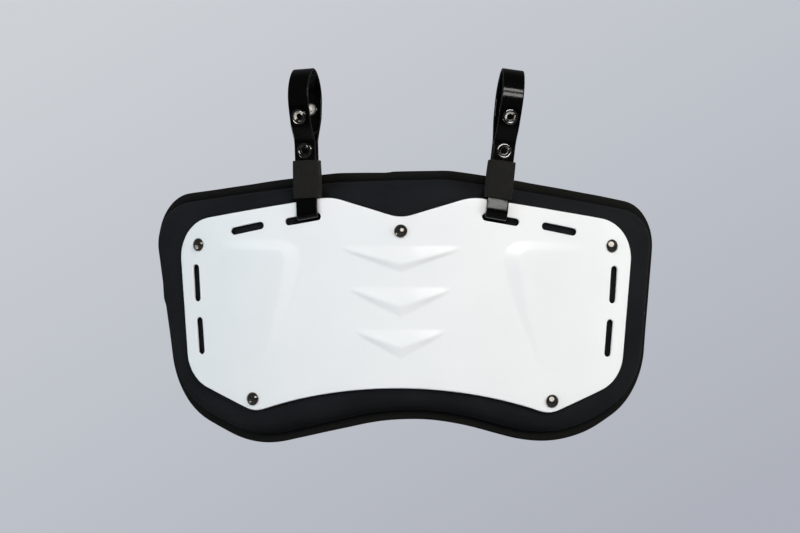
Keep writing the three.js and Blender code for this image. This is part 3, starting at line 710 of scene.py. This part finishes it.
def strap_line():
    """The band's middle line in its own plane: from a hidden end, round the loop and back to the other."""
    end = KEEPER["bottom"] + KEEPER["length"] / 2

    def straight(x, low, high):
        s = np.linspace(low, high, int(round(abs(high - low) / STRAP["step"])) + 1)
        return np.stack([np.full_like(s, x), s], 1)

    def rise(layer):
        rows = [
            (s + SNAP_FLAT, half + splay * SNAP_FLAT)
            for at, s, half, splay, _ in SNAPS.values() if at == layer
        ]
        snaps = np.vstack([np.stack([half, s], 1) for s, half in rows])
        return np.vstack([snaps, np.array(CROWN)[:, ::-1]]) * (layer, 1)

    front, back = rise(1), rise(-1)
    angle = np.pi * (1 + np.arange(1, 4) / 4)
    fold = np.stack([LAYER * np.cos(angle), STRAP["fold"] + LAYER * np.sin(angle)], 1)
    line = np.vstack([
        straight(-LAYER, end - STRAP["end_gap"] / 2, STRAP["fold"]), fold,
        straight(LAYER, STRAP["fold"], front[0, 1] - STRAP["step"]), front,
        [[0, CROWN_TOP]], back[::-1],
        straight(-LAYER, back[0, 1] - STRAP["step"], end + STRAP["end_gap"] / 2),
    ])
    return line + (STRAP_MIDDLE, 0)


def band_section():
    """Half-round edges squared off a little, with stations across both flats: (across, through)."""
    half_width, half = STRAP["width"] / 2, STRAP["thickness"] / 2
    angle = np.linspace(-np.pi / 2, np.pi / 2, BAND["nose_points"])
    nose = half_width - half + half * np.cos(angle) ** BAND["nose_width"]
    rise = half * np.sign(np.sin(angle)) * np.abs(np.sin(angle)) ** BAND["nose_depth"]
    flat = (half_width - half) * np.array(BAND["flats"])
    level = np.full_like(flat, half)
    return np.vstack([
        np.stack([nose, rise], 1), np.stack([flat, level], 1),
        np.stack([-nose, -rise], 1), np.stack([-flat, -level], 1),
    ])


def eased(line):
    """The loop's part of the line with each point the mean of its neighbours, so that its bends are soft."""
    reach = EASE["reach"]
    longer = np.vstack([2 * line[0] - line[reach:0:-1], line, 2 * line[-1] - line[-2:-reach - 2:-1]])
    share = np.full(2 * reach + 1, 1 / (2 * reach + 1))
    mean = np.stack([np.convolve(column, share, "valid") for column in longer.T], 1)
    return line + (mean - line) * smooth_step(line[:, 1:], EASE["from"], EASE["to"])


def build_strap(side, material):
    """The band's section carried along its middle line, its foot slid so that the fold follows the slot."""
    line = eased(through(strap_line(), STRAP["rows"]))
    heading = unit(np.gradient(line, axis=0))
    outward = np.stack([heading[:, 1], -heading[:, 0]], 1)
    section = band_section()
    plane = line[:, None] + outward[:, None] * section[None, :, 1:]
    across = np.broadcast_to(section[None, :, 0], plane.shape[:2])
    bow, lopsided = BOW[side]
    over = plane[..., 1] - BOW["s"]
    hump = np.exp(-(over / np.where(over > 0, BOW["above"], BOW["below"])) ** 2) * (line[:, :1] > 0)
    plane[..., 0] += bow * hump * (1 + lopsided * across / STRAP["width"])
    sign, lean = STRAPS[side]
    slope = np.tan(np.radians(lean - sign * SLOTS["inner"][2]))
    share = 1 - smooth_step(plane[..., 1], SKEW["full"], SKEW["none"])
    points = np.stack([plane[..., 0], plane[..., 1] - slope * share * across, across], -1)
    rows, columns = points.shape[:2]
    index = np.arange(rows * columns).reshape(rows, columns)
    tips = points[[0, -1]].mean(1)
    run = np.broadcast_to(lengths(line)[:, None], (rows, columns))
    flat = np.vstack([np.stack([across.ravel(), run.ravel()], 1), np.zeros((2, 2))])
    edge = np.append(smooth_step(np.abs(across), *BAND["edge"]).ravel(), [1, 1])
    strap = make_piece(
        f"band_{side}", on_strap(side, np.vstack([points.reshape(-1, 3), tips])), quads(wrapped(index)),
        np.vstack([fan(rows * columns, index[0], flip=True), fan(rows * columns + 1, index[-1])]), flat,
        {"edge": edge})
    return finish_piece(strap, material, f"strap_{side}")


def build_keeper(side, material):
    """A sleeve: the wall's rounded section carried round a rounded rectangle about both layers."""
    depth = LAYER + STRAP["thickness"] / 2 + GAP + KEEPER["wall"] / 2
    width = STRAP["width"] / 2 + GAP + KEEPER["wall"] / 2
    bend_at = KEEPER["corner"] - KEEPER["wall"] / 2
    corners = [(-depth, -width), (depth, -width), (depth, width), (-depth, width)]
    ring = rounded([(x, y, bend_at) for x, y in corners])
    ring = along(np.vstack([ring, ring[:1]]), KEEPER["turns"] + 1)[:-1]
    normal = outward_of(ring)
    half, long = KEEPER["wall"] / 2, KEEPER["length"] / 2
    inner, outer = KEEPER["inner_round"], KEEPER["outer_round"]
    wall = rounded([(-half, -long, inner), (half, -long, outer), (half, long, outer), (-half, long, inner)])
    wall = along(np.vstack([wall, wall[:1]]), KEEPER["wall_points"] + 1)[:-1]
    middle = KEEPER["bottom"] + long
    bulge = KEEPER["bulge"] * (1 - (wall[:, 1] / long) ** 2) * (wall[:, 0] > 0)
    out = (wall[:, 0] + bulge)[:, None, None]
    plane = ring[None] + out * normal
    s = np.broadcast_to(middle + wall[:, 1:], plane.shape[:2])
    points = np.stack([STRAP_MIDDLE + plane[..., 0], s, plane[..., 1]], -1)
    rows, columns = points.shape[:2]
    index = np.arange(rows * columns).reshape(rows, columns)
    run = np.broadcast_to(lengths(ring)[None, :], (rows, columns))
    skin = quads(wrapped(np.vstack([index, index[:1]])))
    sleeve = make_piece(
        f"sleeve_{side}", on_strap(side, points.reshape(-1, 3)), skin,
        flat=np.stack([run.ravel(), s.ravel()], 1))
    return finish_piece(sleeve, material, f"keeper_{side}")


# Turned pieces

def turned(profile, turns, closed):
    """A profile (radius, height) carried round its axis: points, quads, and fans where it meets the axis."""
    angle = 2 * np.pi * np.arange(turns) / turns
    walls = profile if closed else profile[1:-1]
    ring = np.stack([np.cos(angle), np.sin(angle)], 1)
    points = np.concatenate([
        walls[:, None, :1] * ring, np.broadcast_to(walls[:, None, 1:], (len(walls), turns, 1))], 2)
    index = np.arange(len(walls) * turns).reshape(len(walls), turns)
    if closed:
        return points.reshape(-1, 3), quads(wrapped(np.vstack([index, index[:1]]))), None
    tips = np.stack([np.zeros(2), np.zeros(2), profile[[0, -1], 1]], 1)
    ends = np.vstack([fan(index.size, index[0], flip=True), fan(index.size + 1, index[-1])])
    return np.vstack([points.reshape(-1, 3), tips]), quads(wrapped(index)), ends


def set_along(points, seat, axis, aside):
    """Turned points set with their axis along a direction from a seat."""
    return seat + points @ np.stack([aside, np.cross(axis, aside), axis])


def build_snap(side, place, material):
    """The snap half's profile turned about an axis square to its layer of the strap."""
    layer, s, half, splay, painted_recess_shade = SNAPS[place]
    closed = place.endswith("socket")
    profile = rounded(SOCKET if closed else STUD, closed)
    points, four, three = turned(profile, SNAP_TURNS, closed)
    axis = unit(np.array([layer, -splay, 0.0]))
    seat = np.array([STRAP_MIDDLE + layer * half, s, 0.0])
    local = set_along(points, seat, axis, np.array([0.0, 0.0, 1.0]))
    left, down, out = points.T
    away = np.hypot(left, down)
    # Painted shade: the recess darkens towards the middle, as strongly as the snap's share says.
    recess = painted_recess_shade * (1 - smooth_step(away, *SNAP_ZONES["recess"]))
    inside = 1 - smooth_step(away, *SNAP_ZONES["inside"])
    # Painted cream highlight: a slanted half of the upper socket's recess, and the studs' inner faces.
    streak = smooth_step(left - down, *SNAP_ZONES["painted_highlight_edge"]) * (place == "upper_socket")
    painted_highlight = inside * (streak if closed else out < 0)
    snap = make_piece(
        f"cap_{side}_{place}", on_strap(side, local), four, three, marks={"recess": recess, "painted_highlight": painted_highlight})
    return finish_piece(snap, material, f"snap_{side}_{place}", SHARP["snap"])


def rivet_profile():
    """Foot, shank and domed head from the back to the front, as corners (radius, height, rounding)."""
    foot = PAD_BACK + RIVET["dimple"] - GAP
    head = RIVET["head_radius"]
    radius, centre = dome_sphere()
    angle = np.linspace(np.arcsin(head / radius), 0, RIVET["rows"])
    dome = np.stack([radius * np.sin(angle), centre + radius * np.cos(angle)], 1)
    shank, seat = RIVET["shank"], RIVET["seat_round"]
    lower = rounded([
        *((radius, foot + height, rounding) for radius, height, rounding in RIVET_FOOT),
        (shank, foot, seat), (shank, GAP, seat), (head, GAP, RIVET["rim_round"]), (head, *dome[0, 1:], 0.0),
    ], closed=False)[:-ARC_POINTS]
    return np.vstack([lower, dome])


def dome_sphere():
    """Radius and middle height of the sphere through the head's rim and its crown."""
    head, rise = RIVET["head_radius"], RIVET["head_height"] - RIVET["rim"]
    radius = (head ** 2 + rise ** 2) / (2 * rise)
    return radius, GAP + RIVET["head_height"] - radius


def build_rivet(place, material):
    """The turned rivet, its dome the lower of the sphere and the struck flat, a plane square to its tilt."""
    u, z = RIVETS[place]
    points, four, three = turned(rivet_profile(), RIVET["turns"], False)
    right, up, flat = STRUCK[place]
    normal = unit(np.array([np.tan(np.radians(up)), -np.tan(np.radians(right)), 1.0]))
    radius, centre = dome_sphere()
    plane = centre + (np.sqrt(radius ** 2 - flat ** 2) - points[:, :2] @ normal[:2]) / normal[2]
    dome = points[:, 2] > GAP + RIVET["rim"]
    points[:, 2] = np.where(dome, soft_min(points[:, 2], plane, RIVET["blend"]), points[:, 2])
    angle = u / BEND_RADIUS
    axis = np.array([np.sin(angle), -np.cos(angle), 0.0])
    at = set_along(points, bend(u, 0.0, z), axis, np.array([0.0, 0.0, 1.0]))
    rivet = make_piece(f"dome_{place}", placed(at), four, three)
    return finish_piece(rivet, material, f"rivet_{place}", SHARP["rivet"])


# Materials

class Finish:
    """A material's node tree, with short calls for the nodes that the finishes below share."""

    def __init__(self, name, **constants):
        self.material = bpy.data.materials.new(name)
        self.material.use_nodes = True
        self.tree = self.material.node_tree
        self.shader = next(n for n in self.tree.nodes if n.type == "BSDF_PRINCIPLED")
        for socket, value in constants.items():
            self.shader.inputs[socket.replace("_", " ").title().replace("Ior", "IOR")].default_value = value

    def node(self, kind, settings=None, **inputs):
        made = self.tree.nodes.new(kind)
        for key, value in (settings or {}).items():
            setattr(made, key, value)
        for key, value in inputs.items():
            socket = made.inputs[int(key[1:])] if key[0] == "i" and key[1:].isdigit() else made.inputs[key]
            if isinstance(value, bpy.types.NodeSocket):
                self.tree.links.new(value, socket)
            else:
                socket.default_value = value
        return made

    def place(self, scale=(1, 1, 1), source="Object"):
        coordinates = self.node("ShaderNodeTexCoord").outputs[source]
        return self.node("ShaderNodeMapping", Vector=coordinates, Scale=scale).outputs["Vector"]

    def noise(self, scale, detail=3.0, vector=None, rough=0.55):
        made = self.node(
            "ShaderNodeTexNoise", Vector=vector or self.place(), Scale=scale, Detail=detail, Roughness=rough)
        return made.outputs["Fac"]

    def wave(self, direction, vector, scale, distortion, detail=2.0):
        made = self.node(
            "ShaderNodeTexWave", {"bands_direction": direction}, Vector=vector, Scale=scale,
            Distortion=distortion, Detail=detail)
        return made.outputs["Fac"]

    def spread(self, value, low, high, start=0.0, end=1.0):
        made = self.node("ShaderNodeMapRange", Value=value)
        for socket, number in zip(("From Min", "From Max", "To Min", "To Max"), (start, end, low, high)):
            made.inputs[socket].default_value = number
        return made.outputs["Result"]

    def math(self, operation, a, b=0.0):
        return self.node("ShaderNodeMath", {"operation": operation}, i0=a, i1=b).outputs[0]

    def mix(self, share, a, b):
        made = self.node("ShaderNodeMix", {"data_type": "RGBA"}, i0=share)
        for socket, value in ((6, a), (7, b)):
            if isinstance(value, bpy.types.NodeSocket):
                self.tree.links.new(value, made.inputs[socket])
            else:
                made.inputs[socket].default_value = (*value, 1.0)
        return made.outputs[2]

    def mark(self, name):
        return self.node("ShaderNodeAttribute", {"attribute_name": name}).outputs["Fac"]

    def bump(self, height, strength, distance, under=None):
        made = self.node("ShaderNodeBump", Height=height, Strength=strength, Distance=distance)
        if under:
            self.tree.links.new(under, made.inputs["Normal"])
        return made.outputs["Normal"]

    def put(self, **sockets):
        for key, value in sockets.items():
            self.tree.links.new(value, self.shader.inputs[key.replace("_", " ")])
        return self.material


def plate_plastic():
    """Glossy white moulding: faint clouding, moulded skin texture, and fine scratches in the gloss."""
    made = Finish("glossy_white_plastic", coat_weight=0.35, coat_roughness=0.06, specular_ior_level=0.5)
    cloud = made.noise(9.0, 3.0)
    colour = made.mix(made.spread(cloud, 0.0, 1.0, 0.3, 0.7), (0.77, 0.785, 0.80), (0.815, 0.825, 0.835))
    scratch = made.noise(60.0, 6.0, made.place((1.0, 1.0, 14.0)), 0.7)
    haze = made.spread(made.noise(30.0), 0.17, 0.24)
    rough = made.math("ADD", made.spread(scratch, 0.0, 0.07, 0.45, 0.8), haze)
    skin = made.bump(made.noise(700.0, 2.0), 0.05, 0.0002)
    skin = made.bump(made.noise(22.0, 2.0), 0.05, 0.002, skin)
    return made.put(Base_Color=colour, Roughness=rough, Normal=skin)


def pad_fabric():
    """Charcoal knit laminated on foam: fine crossed ribs, lint-soft sheen, and a pressed, browner flange."""
    made = Finish("charcoal_knit", sheen_weight=0.02, sheen_roughness=0.5, specular_ior_level=0.1)
    flat = made.place(source="UV")
    flange, crease = made.mark("flange"), made.mark("crease")
    ribs = [made.wave(direction, flat, 0.3, 0.6, 1.0) for direction in ("X", "Y")]
    knit = made.math("MULTIPLY", ribs[0], ribs[1])
    cloud = made.spread(made.noise(0.02, 4.0, flat), 0.0, 1.0, 0.35, 0.7)
    face = made.mix(cloud, (0.0072, 0.0078, 0.0090), (0.0110, 0.0116, 0.0134))
    face = made.mix(made.math("MULTIPLY", knit, 0.35), face, (0.0156, 0.0165, 0.0190))
    lint = made.noise(0.35, 3.0, flat)
    colour = made.mix(flange, face, made.mix(lint, (0.0049, 0.0047, 0.0045), (0.0096, 0.0092, 0.0087)))
    # Painted shade: the crease darkens the colour almost to black.
    colour = made.mix(made.math("MULTIPLY", crease, 0.8), colour, (0.0015, 0.0015, 0.0017))
    rough = made.spread(made.noise(0.5, 3.0, flat), 0.58, 0.72)
    depth = made.math("MULTIPLY", knit, made.spread(flange, 1.0, 0.35))
    normal = made.bump(depth, 0.35, 0.0004)
    normal = made.bump(made.noise(0.12, 3.0, flat), 0.22, 0.0012, normal)
    return made.put(Base_Color=colour, Roughness=rough, Normal=normal)


def strap_patent():
    """Black coated band: a wet gloss over a fine grain, slow ripples, and duller cut edges."""
    made = Finish("patent_black", coat_weight=0.7, coat_roughness=0.03, specular_ior_level=0.5)
    flat = made.place(source="UV")
    edge = made.mark("edge")
    grain = made.node("ShaderNodeTexVoronoi", Vector=flat, Scale=1.6).outputs["Distance"]
    colour = made.mix(made.noise(0.12, 3.0, flat), (0.0007, 0.0007, 0.0007), (0.0016, 0.0015, 0.0013))
    worn = made.spread(made.noise(0.05, 2.0, flat), 0.1, 0.9, 0.45, 0.65)
    colour = made.mix(made.math("MULTIPLY", edge, worn), colour, (0.007, 0.0067, 0.0062))
    rough = made.spread(made.noise(0.4, 4.0, flat), 0.07, 0.15)
    rough = made.math("ADD", rough, made.math("MULTIPLY", edge, 0.2))
    normal = made.bump(grain, 0.05, 0.0003)
    normal = made.bump(made.noise(0.11, 2.0, flat), 0.12, 0.0012, normal)
    return made.put(Base_Color=colour, Roughness=rough, Normal=normal)


def keeper_elastic():
    """Matte woven elastic: raised ribs across the sleeve, crossed by threads, brown-black."""
    made = Finish("woven_elastic", sheen_weight=0.03, sheen_roughness=0.6, specular_ior_level=0.3)
    flat = made.place(source="UV")
    threads = made.wave("Y", flat, 0.55, 0.4)
    weave = made.math("ADD", made.wave("X", flat, 0.33, 0.3), made.math("MULTIPLY", threads, 0.6))
    thread = made.spread(weave, 0.0, 1.0, 0.0, 1.6)
    colour = made.mix(thread, (0.0075, 0.0072, 0.0064), (0.0135, 0.013, 0.0118))
    wear = made.spread(made.noise(0.2, 4.0, flat), 0.0, 0.5, 0.5, 0.8)
    worn = made.mix(wear, colour, (0.017, 0.0162, 0.0145))
    rough = made.spread(made.noise(1.2, 2.0, flat), 0.78, 0.95)
    return made.put(Base_Color=worn, Roughness=rough, Normal=made.bump(weave, 0.4, 0.0004))


def bright_nickel():
    """Nickel snap caps: smeared polish, painted shade in the recess and a painted cream highlight inside."""
    made = Finish("bright_nickel")
    smear = made.noise(160.0, 4.0)
    colour = made.mix(smear, (0.60, 0.585, 0.56), (0.74, 0.73, 0.71))
    recess, painted_highlight = made.mark("recess"), made.mark("painted_highlight")
    # Painted shade: the recess is darkened here, and further below its gloss is dulled.
    colour = made.mix(made.math("MULTIPLY", recess, 0.75), colour, (0.10, 0.095, 0.09))
    # Painted highlight: cream, rougher and less metallic where the highlight mark lies.
    colour = made.mix(painted_highlight, colour, (0.74, 0.71, 0.64))
    rough = made.spread(made.noise(420.0, 3.0), 0.07, 0.15)
    rough = made.math("ADD", rough, made.math("MULTIPLY", recess, 0.14))
    rough = made.math("ADD", rough, made.math("MULTIPLY", painted_highlight, 0.3))
    metal = made.spread(painted_highlight, 1.0, 0.25)
    skin = made.bump(made.noise(1500.0, 2.0), 0.04, 0.0001)
    return made.put(Base_Color=colour, Metallic=metal, Roughness=rough, Normal=skin)


def dark_nickel():
    """Smoked nickel rivet domes: uneven plating, fine scratches in the gloss."""
    made = Finish("dark_nickel", metallic=0.95)
    colour = made.mix(made.noise(190.0, 4.0), (0.22, 0.208, 0.19), (0.36, 0.342, 0.315))
    scratch = made.noise(500.0, 5.0, made.place((1.0, 1.0, 0.12)), 0.7)
    haze = made.spread(made.noise(240.0), 0.07, 0.14)
    rough = made.math("ADD", made.spread(scratch, 0.0, 0.10, 0.4, 0.8), haze)
    return made.put(Base_Color=colour, Roughness=rough, Normal=made.bump(scratch, 0.05, 0.0001))


# Stage, light and camera

FLOOR_DROP = 1.1
FLOOR_SIZE = 4.0
FLOOR_POINTS = 9
# The floor as the part sees it, and as the camera does.
FLOOR_DIM = (0.05, 0.05, 0.053)
FLOOR_PALE = {"low": (0.40, 0.415, 0.455), "high": (0.45, 0.465, 0.505)}
# The backdrop's light and shade ends, and the direction in which it grows lighter.
BACKDROP = {
    "shade": (0.422, 0.440, 0.497), "light": (0.613, 0.641, 0.677),
    "towards": (-0.484, 0.0, 0.875), "from": -0.171, "to": 0.234,
}
# What lights the part from round about: a dark room in front, a pale wall behind.
SURROUND = {"front": (0.020, 0.0205, 0.022), "back": (0.10, 0.103, 0.11), "from": -0.15, "to": 0.6}
CENTRE = Vector((0.0, 0.02, -0.14))
# Softboxes, as (azimuth, elevation, distance in metres, width, height, watts, colour, what they light).
SOFTBOXES = {
    "key": (24.0, 33.0, 1.75, 0.75, 0.5, 21.7, (1.0, 0.89, 0.845), "matte"),
    "key_gloss": (17.0, 16.5, 1.75, 1.05, 0.22, 2.3, (1.0, 0.99, 0.97), "gloss"),
    "top_gloss": (19.0, 28.5, 1.75, 1.05, 0.2, 2.1, (1.0, 0.99, 0.97), "gloss"),
    "left": (-54.0, 16.0, 1.6, 0.7, 0.8, 14.6, (0.775, 0.935, 1.0), "matte"),
    "left_gloss": (-72.0, -30.0, 1.6, 0.5, 0.5, 2.4, (1.0, 0.95, 0.88), "gloss"),
    "right": (71.0, 8.0, 1.6, 0.6, 0.9, 14.6, (0.875, 1.0, 0.975), "matte"),
    "low": (-25.0, -42.0, 1.5, 0.9, 0.6, 13.5, (1.0, 1.0, 1.0), "matte"),
    "rear": (172.0, 8.0, 1.7, 1.2, 0.8, 60.0, (1.0, 1.0, 1.0), "matte"),
}


def add_camera():
    """The camera looks level along its yaw, from its distance in front of the plate, a little rolled."""
    yaw, roll = np.radians([CAMERA["yaw"], CAMERA["roll"]])
    right = np.array([np.cos(yaw), np.sin(yaw), 0.0])
    ahead = np.array([-np.sin(yaw), np.cos(yaw), 0.0])
    up = np.array([0.0, 0.0, 1.0])
    place = placed(-CAMERA["aside"] * right - CAMERA["distance"] * ahead)
    c, s = np.cos(roll), np.sin(roll)
    axes = np.array([c * right + s * up, c * up - s * right, -ahead, place])
    data = bpy.data.cameras.new("camera")
    data.lens, data.sensor_width = CAMERA["lens"], CAMERA["sensor"]
    camera = bpy.data.objects.new("camera", data)
    camera.matrix_world = Matrix(np.vstack([axes.T, [0, 0, 0, 1]]).tolist())
    bpy.context.scene.collection.objects.link(camera)
    bpy.context.scene.camera = camera


def add_softboxes():
    """Each softbox stands on a sphere round the part and faces its middle."""
    for name, (azimuth, elevation, distance, width, height, watts, colour, lights) in SOFTBOXES.items():
        turn, lift = np.radians([azimuth, elevation])
        out = Vector((np.sin(turn) * np.cos(lift), -np.cos(turn) * np.cos(lift), np.sin(lift)))
        data = bpy.data.lights.new(name, "AREA")
        data.shape, data.size, data.size_y = "RECTANGLE", width, height
        data.energy, data.color = watts, colour
        light = bpy.data.objects.new(name, data)
        light.location = CENTRE + distance * out
        light.rotation_euler = (-out).to_track_quat("-Z", "Y").to_euler()
        light.visible_camera = False
        light.visible_glossy = lights != "matte"
        light.visible_diffuse = lights != "gloss"
        bpy.context.scene.collection.objects.link(light)


def add_world():
    """A pale backdrop that the camera sees, and a surround that lights the part and shows in its gloss."""
    world = bpy.data.worlds.new("studio")
    world.use_nodes = True
    bpy.context.scene.world = world
    tree = world.node_tree
    tree.nodes.clear()
    new, link = tree.nodes.new, tree.links.new
    direction = new("ShaderNodeTexCoord").outputs["Generated"]

    def graded(towards, low, high, limits):
        """A background that goes from one colour to another along a direction, between two limits."""
        along_it = new("ShaderNodeVectorMath")
        along_it.operation = "DOT_PRODUCT"
        link(direction, along_it.inputs[0])
        along_it.inputs[1].default_value = towards
        share = new("ShaderNodeMapRange")
        link(along_it.outputs["Value"], share.inputs["Value"])
        share.inputs["From Min"].default_value = limits["from"]
        share.inputs["From Max"].default_value = limits["to"]
        colour = new("ShaderNodeMix")
        colour.data_type = "RGBA"
        link(share.outputs["Result"], colour.inputs[0])
        colour.inputs[6].default_value = (*low, 1)
        colour.inputs[7].default_value = (*high, 1)
        background = new("ShaderNodeBackground")
        link(colour.outputs[2], background.inputs["Color"])
        return background.outputs[0]

    surround = graded((0, 1, 0), SURROUND["front"], SURROUND["back"], SURROUND)
    backdrop = graded(BACKDROP["towards"], BACKDROP["shade"], BACKDROP["light"], BACKDROP)
    pick, ray, out = new("ShaderNodeMixShader"), new("ShaderNodeLightPath"), new("ShaderNodeOutputWorld")
    link(ray.outputs["Is Camera Ray"], pick.inputs[0])
    link(surround, pick.inputs[1])
    link(backdrop, pick.inputs[2])
    link(pick.outputs[0], out.inputs["Surface"])


def add_floor():
    """A pale floor well below the part, lit evenly, which the part's undersides see as a dim one."""
    made = Finish("pale_floor", base_color=(*FLOOR_DIM, 1.0))
    cloud = made.noise(2.0, 2.0)
    pale = made.mix(cloud, FLOOR_PALE["low"], FLOOR_PALE["high"])
    seen = made.node("ShaderNodeLightPath").outputs["Is Camera Ray"]
    made.put(Emission_Color=pale, Emission_Strength=seen, Roughness=made.spread(cloud, 0.75, 0.9))
    span = np.linspace(-FLOOR_SIZE, FLOOR_SIZE, FLOOR_POINTS)
    x, y = np.meshgrid(span, span)
    points = np.stack([x, y, np.full_like(x, -FLOOR_DROP)], -1).reshape(-1, 3)
    floor = make_piece("floor", points, quads(np.arange(x.size).reshape(x.shape)))
    floor.data.materials.append(made.material)


bpy.context.scene.view_settings.view_transform = "Standard"
add_camera()
add_world()
add_softboxes()
add_floor()

build_plate(plate_plastic())
build_pad(pad_fabric())
patent, elastic, nickel, smoked = strap_patent(), keeper_elastic(), bright_nickel(), dark_nickel()
for side in STRAPS:
    build_strap(side, patent)
    build_keeper(side, elastic)
    for place in SNAPS:
        build_snap(side, place, nickel)
for place in RIVETS:
    build_rivet(place, smoked)
